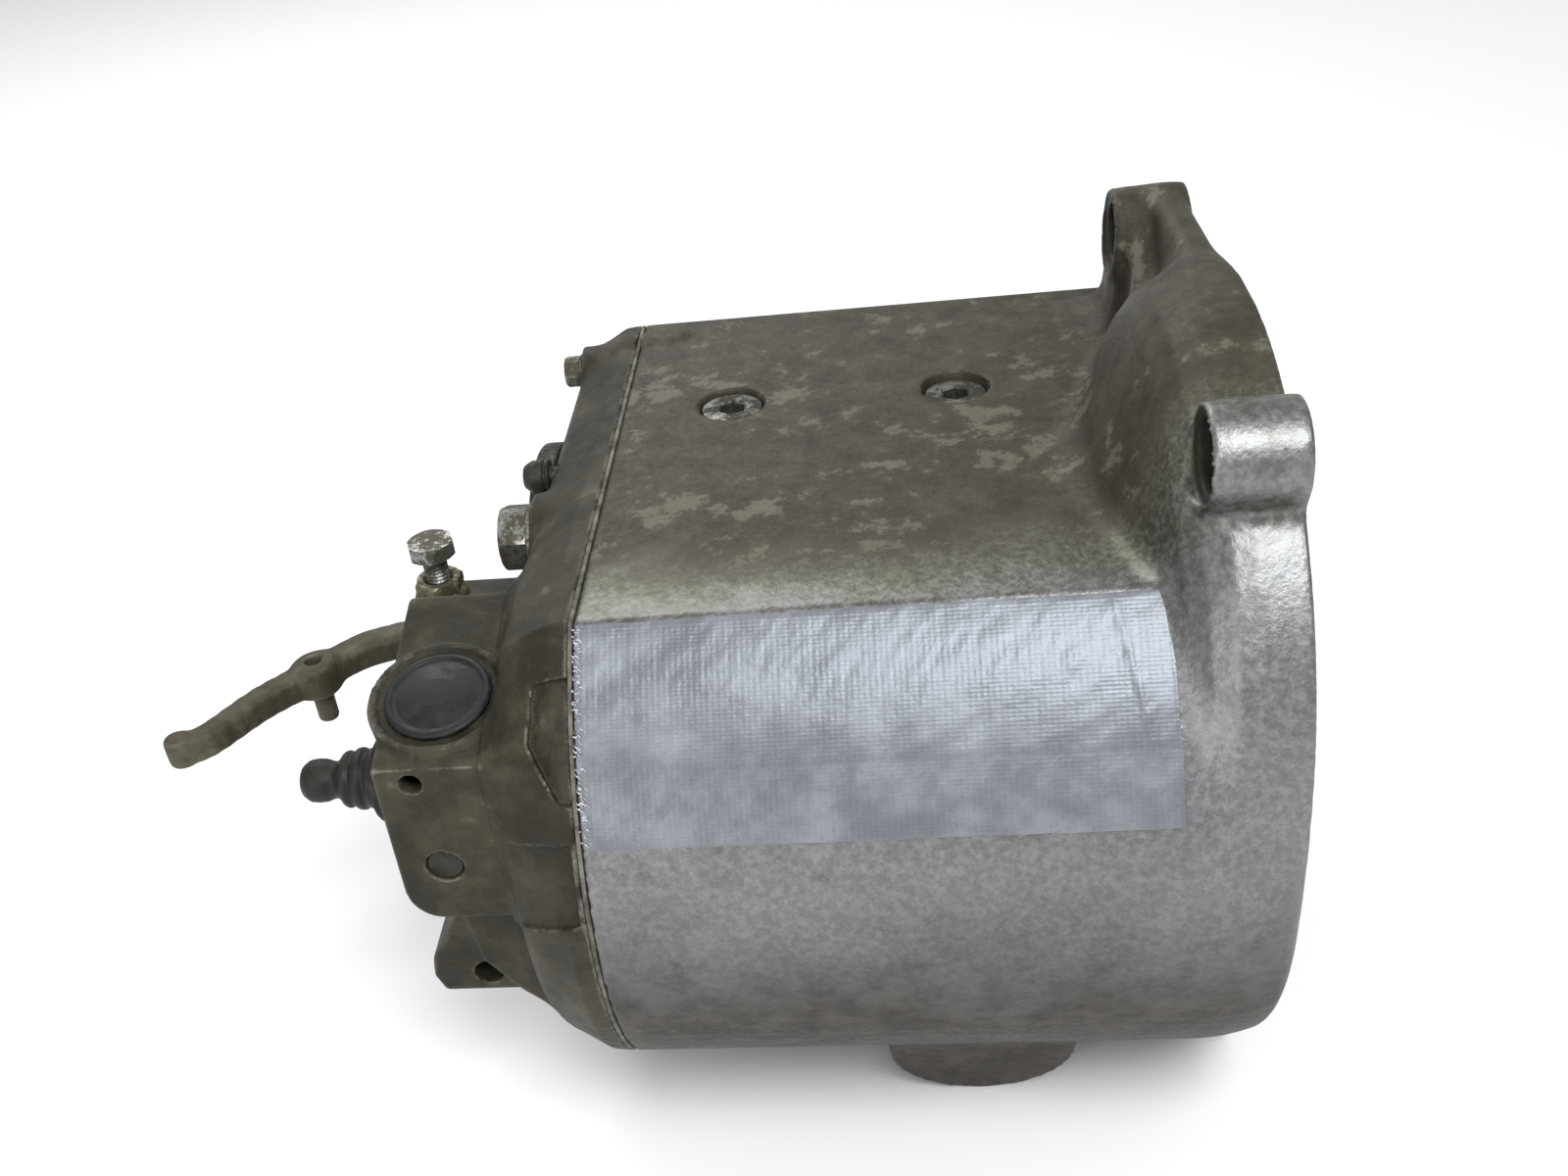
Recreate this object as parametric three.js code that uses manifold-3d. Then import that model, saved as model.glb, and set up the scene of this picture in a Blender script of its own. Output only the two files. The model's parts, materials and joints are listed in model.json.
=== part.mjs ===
// Five-speed motorcycle gearbox: a cast barrel casing with an engine bell at its front (+X), a cast rear
// cover (-X) with the clutch release arm, and the complete gear train, dog sleeves, forks and cam plates.
// Millimetres, +Z up. The design axes start at the casing joint (x = 0) on the barrel's centre line; the last
// lines move the whole assembly so that its origin is the middle of the bounding box's underside.
import * as THREE from 'three';
import { mergeVertices } from 'three/addons/utils/BufferGeometryUtils.js';
import Module from 'manifold-3d';

const wasm = await Module();
wasm.setup();

// ---- driving dimensions ----------------------------------------------------------------------------------
const DEGREE = Math.PI / 180;
const GAP = 0.3;                      // clearance left between pieces that touch
const BARREL_R = 100;                 // near side of the casing
const TOP_Z = 83;                     // flat top of the casing
const FAR_Y = 141;                    // far side of the casing
const WALL = 6;                       // casting thickness
const BODY_LENGTH = 191;              // joint face to engine face
const WEB_X = 145;                    // front wall of the gear space
const WEB_THICK = 20;
const RIM_X = 184;                    // where the barrel rounds off towards the engine face
const DRAFT = 0.0146;                 // the barrel widens by this much for each millimetre towards the bell
const BELL_R = 104.5;                  // engine flange, round the input shaft
const BELL_BORE_R = 91;
const EAR_X = 166;                    // rear face of the flange ears
const INPUT = { y: 10, z: 30 };       // shaft axes, all along X
const OUTPUT = { y: 80, z: 17 };
const MODULE = 3.2;                   // gear tooth module
const INPUT_TEETH = 13;
const LAY_TEETH = 23;
const SHAFT_R = 12;
const GEAR_WIDTH = 10;
const SLEEVE_WIDTH = 9;
const DOG_HEIGHT = 3.5;
const GEAR_PAIRS = {                  // teeth on the layshaft and output shaft, and the gear's rear face
  gear_5: { lay: 21, out: 18, x: 3 },
  gear_3: { lay: 18, out: 21, x: 34 },
  gear_4: { lay: 20, out: 19, x: 69 },
  gear_2: { lay: 15, out: 24, x: 80.5 },
  gear_1: { lay: 11, out: 28, x: 115.5 },
};
const SLEEVES = { sleeve_high: 21, sleeve_mid: 52, sleeve_low: 98.5 };
const CONSTANT_MESH_X = 127;
const ROD = { y: 44, z: 57, r: 5 };   // shift fork rod
const CAM = { y: 67.2, z: 68, thick: 4, rear: 36.3, front: 110.4 };
const COVER_X = -1.3;                 // joint face of the rear cover
const COVER_BACK_X = -24;
const BULGE = { x0: -59, x1: -2, y0: -76, y1: 12, z0: -6 };
const BULGE_TOP = { near: 50.9, crest: 66, crestY: -13, far: 44 };   // its sloping top, from near side to far
const PIVOT = { x: -59, y: 18, r: 8.6 };
const LEVER_Z = 33;
const LEVER_HALF = 7.5;
const EAR_TOP_Z = 46.5;               // top of the lug that carries the lever pivot
const COVER_BOLTS = [[127, 71], [130, -12], [93, -74], [22, -89], [-42, -80]];
const EARS = [                        // engine flange bolts and the radius of the ear round each
  { y: 112, z: 116, r: 14.5 },
  { y: -51, z: 119.5, r: 14 },
  { y: -30, z: -98, r: 14 },
  { y: 118, z: -44, r: 15 },
];

// centre of the layshaft, below the line from the input shaft to the output shaft
function layshaftAxis() {
  const toInput = MODULE * (INPUT_TEETH + LAY_TEETH) / 2;
  const toOutput = MODULE * (GEAR_PAIRS.gear_1.lay + GEAR_PAIRS.gear_1.out) / 2;
  const dy = OUTPUT.y - INPUT.y;
  const dz = OUTPUT.z - INPUT.z;
  const apart = Math.hypot(dy, dz);
  const along = (toInput ** 2 - toOutput ** 2 + apart ** 2) / (2 * apart);
  const off = Math.sqrt(toInput ** 2 - along ** 2);
  return {
    y: INPUT.y + (dy * along + dz * off) / apart,
    z: INPUT.z + (dz * along - dy * off) / apart,
  };
}
const LAY = layshaftAxis();

// ---- solids ----------------------------------------------------------------------------------------------
function toSolid(geometry) {
  const plain = geometry.clone();
  plain.deleteAttribute('normal');
  plain.deleteAttribute('uv');
  const welded = mergeVertices(plain, 1e-4);
  const position = welded.attributes.position;
  const corners = [0, 1, 2].map(() => new THREE.Vector3());
  const triangles = [];
  let volume = 0;
  for (let i = 0; i < welded.index.count; i += 3) {
    const [a, b, c] = [0, 1, 2].map((k) => welded.index.getX(i + k));
    if (a === b || b === c || c === a) continue;
    triangles.push([a, b, c]);
    [a, b, c].forEach((at, k) => corners[k].fromBufferAttribute(position, at));
    volume += corners[0].dot(corners[1].cross(corners[2]));
  }
  const outward = volume > 0 ? triangles : triangles.map(([a, b, c]) => [a, c, b]);
  return new wasm.Manifold(new wasm.Mesh({
    numProp: 3,
    vertProperties: new Float32Array(position.array),
    triVerts: new Uint32Array(outward.flat()),
  }));
}

function toGeometry(solid) {
  const mesh = solid.getMesh();
  const geometry = new THREE.BufferGeometry();
  geometry.setAttribute('position', new THREE.BufferAttribute(new Float32Array(mesh.vertProperties), 3));
  geometry.setIndex(new THREE.BufferAttribute(new Uint32Array(mesh.triVerts), 1));
  geometry.computeVertexNormals();
  return geometry;
}

const join = (...solids) => solids.reduce((whole, next) => whole.add(next));
const cut = (solid, ...tools) => tools.reduce((whole, tool) => whole.subtract(tool), solid);

// turn a shape built along Z (prisms) or Y (lathes) so that its length runs along the named axis
const PRISM_TURN = {
  x: new THREE.Matrix4().set(0, 0, 1, 0, 1, 0, 0, 0, 0, 1, 0, 0, 0, 0, 0, 1),
  y: new THREE.Matrix4().set(0, 1, 0, 0, 0, 0, 1, 0, 1, 0, 0, 0, 0, 0, 0, 1),
  z: new THREE.Matrix4(),
};
const LATHE_TURN = {
  x: new THREE.Matrix4().set(0, 1, 0, 0, 0, 0, 1, 0, 1, 0, 0, 0, 0, 0, 0, 1),
  y: new THREE.Matrix4(),
  z: new THREE.Matrix4().set(0, 0, 1, 0, 1, 0, 0, 0, 0, 1, 0, 0, 0, 0, 0, 1),
};
const SHIFT = {
  x: (h, a, b) => [h, a, b],
  y: (h, a, b) => [a, h, b],
  z: (h, a, b) => [a, b, h],
};

// shape's first axis is Y on an X prism, Z on a Y prism and X on a Z prism
function prism(axis, shape, from, to, curveSegments = 6) {
  const geometry = new THREE.ExtrudeGeometry(shape, { depth: to - from, bevelEnabled: false, curveSegments });
  geometry.applyMatrix4(PRISM_TURN[axis]);
  geometry.translate(...SHIFT[axis](from, 0, 0));
  return toSolid(geometry);
}

// profile: [radius, height] pairs that start and end on the axis, or close on themselves
function turned(axis, profile, a, b, sides = 16) {
  const geometry = new THREE.LatheGeometry(profile.map(([r, h]) => new THREE.Vector2(r, h)), sides);
  geometry.applyMatrix4(LATHE_TURN[axis]);
  geometry.translate(...SHIFT[axis](0, a, b));
  return toSolid(geometry);
}

const rod = (axis, r, from, to, a, b, sides = 16) =>
  turned(axis, [[0, from], [r, from], [r, to], [0, to]], a, b, sides);
const ring = (axis, inner, outer, from, to, a, b, sides = 16) =>
  turned(axis, [[inner, from], [outer, from], [outer, to], [inner, to], [inner, from]], a, b, sides);
const hexagon = (axis, acrossFlats, from, to, a, b) =>
  rod(axis, acrossFlats / Math.sqrt(3), from, to, a, b, 6);

function box(x0, x1, y0, y1, z0, z1) {
  const geometry = new THREE.BoxGeometry(x1 - x0, y1 - y0, z1 - z0);
  geometry.translate((x0 + x1) / 2, (y0 + y1) / 2, (z0 + z1) / 2);
  return toSolid(geometry);
}

const polygon = (points) => new THREE.Shape(points.map(([u, v]) => new THREE.Vector2(u, v)));
const polar = (r, angle, cy = 0, cz = 0) => [cy + r * Math.cos(angle), cz + r * Math.sin(angle)];

function arc(cy, cz, r, from, to, steps) {
  const points = [];
  for (let i = 0; i <= steps; i++) points.push(polar(r, from + ((to - from) * i) / steps, cy, cz));
  return points;
}

// straight bar with round ends between two points, as an outline
function stadium(a, b, ra, rb = ra) {
  const heading = Math.atan2(b[1] - a[1], b[0] - a[0]);
  const quarter = Math.PI / 2;
  return [
    ...arc(b[0], b[1], rb, heading - quarter, heading + quarter, 5),
    ...arc(a[0], a[1], ra, heading + quarter, heading + 3 * quarter, 5),
  ];
}

// cross-section of the casing in Y and Z, set in from the outer surface
function casingOutline(inset) {
  const corner = Math.max(5 - inset, 1);
  const belly = 90;
  const near = BARREL_R - inset;
  const flat = TOP_Z - inset;
  return [
    ...arc(FAR_Y - belly, belly - BARREL_R, belly - inset, -Math.PI / 2, 0, 8),
    ...arc(FAR_Y - inset - corner, flat - corner, corner, 0, Math.PI / 2, 3),
    ...arc(0, 0, near, Math.PI - Math.asin(flat / near), 1.5 * Math.PI, 13),
  ];
}

// skin through [x, inset] sections of the casing outline
function loft(stations) {
  const rings = stations.map(([x, inset]) => casingOutline(inset).map(([y, z]) => [x, y, z]));
  const count = rings[0].length;
  const positions = rings.flat(2);
  const index = [];
  for (let s = 0; s + 1 < rings.length; s++) {
    for (let i = 0; i < count; i++) {
      const a = s * count + i;
      const b = s * count + ((i + 1) % count);
      index.push(a, b, a + count, b, b + count, a + count);
    }
  }
  const outline = rings[0].map(([, y, z]) => new THREE.Vector2(y, z));
  const last = (rings.length - 1) * count;
  for (const [a, b, c] of THREE.ShapeUtils.triangulateShape(outline, [])) {
    index.push(a, c, b, last + a, last + b, last + c);
  }
  const geometry = new THREE.BufferGeometry();
  geometry.setAttribute('position', new THREE.Float32BufferAttribute(positions, 3));
  geometry.setIndex(index);
  return toSolid(geometry);
}

// ---- assembly --------------------------------------------------------------------------------------------
const assembly = new THREE.Group();
const finishes = {
  castAluminium: { color: 0x8c8a84, roughness: 0.55, metalness: 0.75 },
  grimyAluminium: { color: 0x464036, roughness: 0.7, metalness: 0.45 },
  steel: { color: 0x9a9b9c, roughness: 0.35, metalness: 0.95 },
  gearSteel: { color: 0x6f7072, roughness: 0.32, metalness: 0.95 },
  zincSteel: { color: 0x8a8678, roughness: 0.45, metalness: 0.85 },
  darkSteel: { color: 0x2b2a26, roughness: 0.6, metalness: 0.6 },
  rubber: { color: 0x17191a, roughness: 0.75, metalness: 0 },
  gasketPaper: { color: 0x4d4a44, roughness: 0.9, metalness: 0 },
  tape: { color: 0x9fa6ad, roughness: 0.35, metalness: 0.5 },
};

function add(name, finish, solid) {
  const mesh = new THREE.Mesh(toGeometry(solid), new THREE.MeshStandardMaterial(finishes[finish]));
  mesh.name = name;
  assembly.add(mesh);
}

// ---- gears and dogs --------------------------------------------------------------------------------------
// outline of a spur gear round its shaft, with the middle of one tooth at the given angle
function gearOutline(axis, teeth, toothAt) {
  const pitch = (MODULE * teeth) / 2;
  const root = pitch - 1.2 * MODULE;
  const tip = pitch + 0.9 * MODULE;
  const rootHalf = (0.8 * MODULE) / root;
  const tipHalf = (0.36 * MODULE) / tip;
  const points = [];
  for (let i = 0; i < teeth; i++) {
    const at = toothAt + (i * 2 * Math.PI) / teeth;
    points.push(polar(root, at - rootHalf, axis.y, axis.z), polar(tip, at - tipHalf, axis.y, axis.z));
    points.push(polar(tip, at + tipHalf, axis.y, axis.z), polar(root, at + rootHalf, axis.y, axis.z));
  }
  return points;
}

const heading = (from, to) => Math.atan2(to.z - from.z, to.y - from.y);
const gear = (axis, teeth, toothAt, x) =>
  prism('x', polygon(gearOutline(axis, teeth, toothAt)), x, x + GEAR_WIDTH);

// angle of the first tooth of a gear that meshes with one whose tooth points straight at it
const meshingTooth = (axis, mate, teeth) => heading(axis, mate) + Math.PI / teeth;

const DOG = { count: 3, inner: 17, outer: 25, half: 13 * DEGREE };

// three coupling dogs on a face, over a stretch along the shaft
function dogs(axis, from, to, at) {
  const solids = [];
  for (let i = 0; i < DOG.count; i++) {
    const middle = at + (i * 2 * Math.PI) / DOG.count;
    solids.push(prism('x', polygon([
      ...arc(axis.y, axis.z, DOG.outer, middle - DOG.half, middle + DOG.half, 1),
      ...arc(axis.y, axis.z, DOG.inner, middle + DOG.half, middle - DOG.half, 1),
    ]), from, to));
  }
  return join(...solids);
}

// splined stretch of the output shaft: six keys on the shaft, or the matching bore with clearance
function spline(from, to, clearance) {
  const keys = [];
  for (let i = 0; i < 6; i++) {
    const middle = (i * Math.PI) / 3;
    const half = 0.2 + clearance / SHAFT_R;
    keys.push(...arc(OUTPUT.y, OUTPUT.z, SHAFT_R + 2 + clearance, middle - half, middle + half, 1));
    keys.push(...arc(OUTPUT.y, OUTPUT.z, SHAFT_R + clearance, middle + half, middle + Math.PI / 3 - half, 3));
  }
  return prism('x', polygon(keys), from, to);
}

// A sleeve turns with the output shaft and a gear with the input shaft. Seen from the sleeve, the dogs of
// each gear stand halfway between the sleeve's dogs, turned back by half of what the gear gains in a turn.
const SLEEVE_DOGS_AT = 0;
const TRAIN = INPUT_TEETH / LAY_TEETH;
function dogPhase(name, turn) {
  const { lay, out } = GEAR_PAIRS[name];
  const step = (2 * Math.PI) / DOG.count;
  const gain = ((TRAIN * lay) / out - 1) * turn;
  const wrapped = gain - step * Math.round(gain / step);
  return SLEEVE_DOGS_AT + step / 2 - wrapped / 2;
}

// ---- casing ----------------------------------------------------------------------------------------------
const BEARINGS = {                    // outer radius of each shaft's bearings
  input: { axis: INPUT, r: 24 },
  lay: { axis: LAY, r: 21 },
  output: { axis: OUTPUT, r: 26 },
};
const BEARING_WIDTH = 11;
const FRONT_SEAT_X = WEB_X + 1;
const REAR_SEAT_X = -16;

// lower side boss: a short round pad that faces near and slightly down
const SIDE_BOSS = { x: 106.5, y: -65, z: -83.5, r: 29.5, tilt: 16 * DEGREE, depth: 40 };
function sideBoss(r, from, to) {
  const pad = new THREE.CylinderGeometry(r, r, to - from, 24);
  pad.translate(0, (from + to) / 2, 0);
  pad.rotateX(Math.PI + SIDE_BOSS.tilt);
  pad.translate(SIDE_BOSS.x, SIDE_BOSS.y, SIDE_BOSS.z);
  return toSolid(pad);
}

function bellFlare() {
  const profile = [[0, 134], [50, 136], [58, 150], [75, 158], [93, 164], [BELL_R, 172]];
  profile.push([BELL_R, BODY_LENGTH], [0, BODY_LENGTH]);
  return turned('x', profile, INPUT.y, INPUT.z, 36);
}

const earBar = (ear) => prism('x', polygon(stadium([ear.y, ear.z], [
  INPUT.y + (ear.y - INPUT.y) * 0.6,
  INPUT.z + (ear.z - INPUT.z) * 0.6,
], ear.r, ear.r + 3)), EAR_X, BODY_LENGTH);

// the rim runs straight from the top of the bell to the far upper ear
const topRim = () => prism('x', polygon([
  [EARS[0].y, EARS[0].z + EARS[0].r], [60, INPUT.z + BELL_R], [INPUT.y, INPUT.z + BELL_R], [INPUT.y, 70],
  [EARS[0].y + EARS[0].r, 70], [EARS[0].y + EARS[0].r, EARS[0].z],
]), 176, BODY_LENGTH);

const DRAIN = { x: 70, y: 30 };
const FILLER = { x: 96, z: 30 };
const DOWELS = [[70, TOP_Z - 3], [-97, 4]];
const DOWEL_R = 2;

function housing() {
  const barrel = loft([[0, 0], [RIM_X, -DRAFT * RIM_X], [BODY_LENGTH, 2]]);
  const pad = sideBoss(SIDE_BOSS.r, -SIDE_BOSS.depth, 0);
  const shell = join(barrel, bellFlare(), topRim(), ...EARS.map(earBar), pad);
  let cavity = loft([[-1, WALL], [WEB_X, WALL - 1]]);
  cavity = cut(cavity, ...COVER_BOLTS.map(([y, z]) => rod('x', 8, -2, 34, y, z, 12)));
  cavity = cut(cavity, sideBoss(SIDE_BOSS.r - 2, -SIDE_BOSS.depth + 4, 0));
  cavity = cut(cavity, rod('z', 13, -110, -88, DRAIN.x, DRAIN.y, 12));
  const bell = rod('x', BELL_BORE_R, WEB_X + WEB_THICK, BODY_LENGTH + 1, INPUT.y, INPUT.z, 36);
  const seats = Object.values(BEARINGS).map(({ axis, r }) =>
    rod('x', r + GAP, WEB_X - 1, FRONT_SEAT_X + BEARING_WIDTH + GAP, axis.y, axis.z));
  const bolts = COVER_BOLTS.map(([y, z]) => rod('x', 3 + GAP, -1, 24, y, z, 10));
  const flangeHoles = EARS.map((ear) => join(
    rod('x', 5.5, EAR_X - 20, BODY_LENGTH + 1, ear.y, ear.z),
    rod('x', 9.8, EAR_X - 20, EAR_X + 8, ear.y, ear.z),
  ));
  const camScrews = [CAM.rear, CAM.front].map((x) =>
    turned('z', [[0, 70], [4.4, 70], [4.4, 76.6], [10.6, TOP_Z - 0.4], [10.6, 90], [0, 90]], x, CAM.y, 24));
  return cut(
    shell, cavity, bell, ...seats, ...bolts, ...flangeHoles, ...camScrews,
    rod('x', 20 + GAP, 150, WEB_X + WEB_THICK + 1, INPUT.y, INPUT.z),
    rod('x', ROD.r + GAP, WEB_X - 1, WEB_X + 6, ROD.y, ROD.z),
    sideBoss(7, -22, 1),
    rod('z', 7 + GAP, -110, -80, DRAIN.x, DRAIN.y),
    rod('y', 9 + GAP, 110, 150, FILLER.x, FILLER.z),
    ...DOWELS.map(([y, z]) => rod('x', DOWEL_R + GAP, -1, 7, y, z, 10)),
  );
}

const GASKET = { x0: COVER_X + GAP, x1: -GAP };

function gasket() {
  const outer = loft([[GASKET.x0, 0.2], [GASKET.x1, 0.2]]);
  const inner = cut(
    loft([[GASKET.x0 - 1, WALL], [GASKET.x1 + 1, WALL]]),
    ...COVER_BOLTS.map(([y, z]) => rod('x', 8, GASKET.x0 - 1, GASKET.x1 + 1, y, z, 12)),
  );
  return cut(outer, inner,
    ...COVER_BOLTS.map(([y, z]) => rod('x', 3 + GAP, -3, 2, y, z, 10)),
    ...DOWELS.map(([y, z]) => rod('x', DOWEL_R + GAP, -3, 2, y, z, 10)));
}

// ---- rear cover ------------------------------------------------------------------------------------------
const SWITCH = { y: -47, z: 25 };
const WINDOW = { x: -43.2, y: -51.6, r: 14 };
const SELECTOR = { x: -45, z: 15, r: 5 };
const DETENT = { y: 22, z: 64 };
const BREATHER = { y: 50, z: 70 };
const LUG = { y0: -66, y1: -40, x: -44.3, z: -39 };
const BOSS_BACK_X = COVER_BACK_X + 1;

// the box-shaped bulge round the clutch release: its section along X, crossed with its section along Y
function bulge(inset) {
  const corner = Math.max(11 - inset, 1);
  const [x0, z0] = [BULGE.x0 + inset, BULGE.z0 + inset];
  const round = arc(z0 + corner, x0 + corner, corner, 1.5 * Math.PI, Math.PI, 4);
  const side = prism('y', polygon([[70, x0], ...round, [z0, BULGE.x1], [70, BULGE.x1]]),
    BULGE.y0 + inset, BULGE.y1 - inset);
  const front = prism('x', polygon([
    [BULGE.y0, z0], [BULGE.y1, z0], [BULGE.y1, BULGE_TOP.far - inset],
    [BULGE_TOP.crestY, BULGE_TOP.crest - inset], [BULGE.y0, BULGE_TOP.near - inset],
  ]), BULGE.x0, BULGE.x1 + 1);
  return side.intersect(front);
}

function coverOuter() {
  const lower = prism('y', polygon([
    [BULGE.z0 + 6, -48], [-30, -44], [-44, -34], [-60, COVER_BACK_X + 6], [BULGE.z0 + 6, COVER_BACK_X + 6],
  ]), -70, 0);
  const lug = prism('y', polygon([
    [-8, -46], [-33, -61], [-40, -62], [-46.5, -59.5], [-47, -33], [-8, -22],
  ]), LUG.y0, LUG.y1);
  const ears = prism('z', polygon([
    ...arc(PIVOT.x, PIVOT.y, PIVOT.r, Math.PI / 2, 1.5 * Math.PI, 8),
    [COVER_BACK_X + 4, PIVOT.y - PIVOT.r], [COVER_BACK_X + 4, PIVOT.y + PIVOT.r],
  ]), 12, EAR_TOP_Z);
  const bosses = COVER_BOLTS.map(([y, z]) => rod('x', 8.5, BOSS_BACK_X, COVER_X, y, z));
  return join(
    loft([[COVER_BACK_X, 14], [-20, 8], [-7, 0.6], [COVER_X, 0]]),
    bulge(0), lower, lug, ears, ...bosses,
    rod('x', 13, COVER_BACK_X - 1, COVER_X, DETENT.y, DETENT.z),
    rod('x', 31, COVER_BACK_X - 1, COVER_X - 10, OUTPUT.y, OUTPUT.z, 20),
  );
}

// moves a solid built round Z onto the sloping top of the bulge, at the window
function windowAxis(solid) {
  const slope = Math.atan2(BULGE_TOP.crest - BULGE_TOP.near, BULGE_TOP.crestY - BULGE.y0);
  const z = BULGE_TOP.near + Math.tan(slope) * (WINDOW.y - BULGE.y0);
  return solid.rotate([slope / DEGREE, 0, 0]).translate([WINDOW.x, WINDOW.y, z]);
}

function rearCover() {
  const roof = COVER_BACK_X + WALL;
  let cavity = join(
    loft([[roof, 14 + WALL - 1], [-17, 13], [COVER_X + 1, WALL]]),
    cut(bulge(WALL), box(BULGE.x0, 0, INPUT.y - 15, 60, -20, 80)),
  );
  cavity = cut(cavity,
    ...COVER_BOLTS.map(([y, z]) => rod('x', 8, COVER_BACK_X, 2, y, z, 12)),
    ...Object.values(BEARINGS).map(({ axis, r }) => rod('x', r + 4, COVER_BACK_X, -4, axis.y, axis.z)),
    rod('x', 9, COVER_BACK_X, -5, ROD.y, ROD.z),
    rod('x', 10, COVER_BACK_X, -10, DETENT.y, DETENT.z, 12),
  );
  const seats = Object.values(BEARINGS).map(({ axis, r }) =>
    rod('x', r + GAP, REAR_SEAT_X - GAP, 0, axis.y, axis.z));
  const leverSlot = prism('z', polygon([
    [-46, PIVOT.y + 12], [-46, 5], [-54, -6], [-85, -6], [-85, PIVOT.y + 12],
  ]), LEVER_Z - LEVER_HALF - GAP, LEVER_Z + LEVER_HALF + GAP);
  return cut(
    coverOuter(), cavity, ...seats, leverSlot,
    rod('x', 8 + GAP, -70, -10, INPUT.y, INPUT.z),
    rod('x', SHAFT_R + 4, -40, -10, OUTPUT.y, OUTPUT.z),
    rod('x', 22 + GAP, COVER_BACK_X - 5, COVER_BACK_X + 4.3, OUTPUT.y, OUTPUT.z),
    rod('x', ROD.r + GAP, -16, 2, ROD.y, ROD.z),
    rod('x', 7 + GAP, -40, -8, DETENT.y, DETENT.z),
    rod('x', 3 + GAP, -40, -10, BREATHER.y, BREATHER.z, 12),
    windowAxis(rod('z', WINDOW.r + GAP, -11, 2, 0, 0, 24)),
    rod('x', 7 + GAP, BULGE.x0 - 1, BULGE.x0 + 9, SWITCH.y, SWITCH.z),
    rod('y', SELECTOR.r + GAP, BULGE.y0 - 1, BULGE.y0 + 10, SELECTOR.x, SELECTOR.z),
    rod('y', SELECTOR.r + GAP, INPUT.y - 16, INPUT.y - 8.5, SELECTOR.x, SELECTOR.z),
    rod('y', 3.2, BULGE.y0 - 1, BULGE.y0 + 9, -48.4, 45.6, 12),
    rod('y', 4.5, LUG.y0 - 1, LUG.y1 + 1, LUG.x, LUG.z, 12),
    rod('z', 4 + GAP, 8, 62, PIVOT.x, PIVOT.y),
    ...COVER_BOLTS.map(([y, z]) => rod('x', 3 + GAP, -40, 2, y, z, 10)),
    ...COVER_BOLTS.map(([y, z]) => rod('x', 7.4, -40, BOSS_BACK_X, y, z)),
    ...DOWELS.map(([y, z]) => rod('x', DOWEL_R + GAP, -8, 2, y, z, 10)),
  );
}

// ---- shafts ----------------------------------------------------------------------------------------------
const inputTooth = heading(INPUT, LAY);

function inputShaft() {
  const body = turned('x', [
    [0, -15.8], [SHAFT_R, -15.8], [SHAFT_R, 116], [18, 116], [18, 120], [SHAFT_R + 1, 120],
    [SHAFT_R + 1, 158], [SHAFT_R, 158], [SHAFT_R, 166], [10, 166], [10, 186], [0, 186],
  ], INPUT.y, INPUT.z);
  return cut(join(body, gear(INPUT, INPUT_TEETH, inputTooth, CONSTANT_MESH_X)),
    rod('x', 4, -18, 188, INPUT.y, INPUT.z));
}

const damperCam = () => cut(
  join(ring('x', SHAFT_R + 0.5, 19, 30, 44, INPUT.y, INPUT.z),
    ring('x', SHAFT_R + 0.5, 16, 44, 52, INPUT.y, INPUT.z)),
  box(40, 53, INPUT.y - 4, INPUT.y + 4, INPUT.z, INPUT.z + 30),
);

function damperSpring() {
  const turns = 4;
  const wire = 1.9;
  class Helix extends THREE.Curve {
    getPoint(t, target = new THREE.Vector3()) {
      const [y, z] = polar(15.4, t * turns * 2 * Math.PI, INPUT.y, INPUT.z);
      return target.set(56 + t * 56, y, z);
    }
  }
  const section = polygon(arc(0, 0, wire, 0, 1.5 * Math.PI, 3));
  return toSolid(new THREE.ExtrudeGeometry(section, { steps: turns * 9, extrudePath: new Helix() }));
}

function layshaft() {
  const gears = Object.values(GEAR_PAIRS).map(({ lay, x }) => gear(LAY, lay, heading(LAY, OUTPUT), x));
  return join(
    turned('x', [
      [0, -15.8], [10, -15.8], [10, -2], [13, -2], [13, 144], [10, 144], [10, 156], [0, 156],
    ], LAY.y, LAY.z),
    gear(LAY, LAY_TEETH, meshingTooth(LAY, INPUT, LAY_TEETH), CONSTANT_MESH_X),
    ...gears,
  );
}

function outputShaft() {
  const body = turned('x', [
    [0, -46], [7, -46], [7, -38], [SHAFT_R, -38], [SHAFT_R, 156], [0, 156],
  ], OUTPUT.y, OUTPUT.z);
  const splines = Object.values(SLEEVES).map((x) => spline(x - 6, x + SLEEVE_WIDTH + DOG_HEIGHT, 0));
  return join(body, ...splines);
}

function looseGear(name) {
  const { out, x } = GEAR_PAIRS[name];
  const sleeveX = Object.values(SLEEVES).find((at) => Math.abs(at - x) < GEAR_WIDTH + SLEEVE_WIDTH + 4);
  const ahead = sleeveX > x;
  const face = ahead ? x + GEAR_WIDTH : x - DOG_HEIGHT;
  const blank = gear(OUTPUT, out, meshingTooth(OUTPUT, LAY, out), x);
  const turn = ahead ? Math.PI / 2 : Math.PI;
  return cut(
    join(blank, dogs(OUTPUT, ahead ? face - 1 : face, ahead ? face + DOG_HEIGHT : face + DOG_HEIGHT + 1,
      dogPhase(name, turn))),
    rod('x', SHAFT_R + 0.4, x - 20, x + 30, OUTPUT.y, OUTPUT.z),
  );
}

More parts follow.
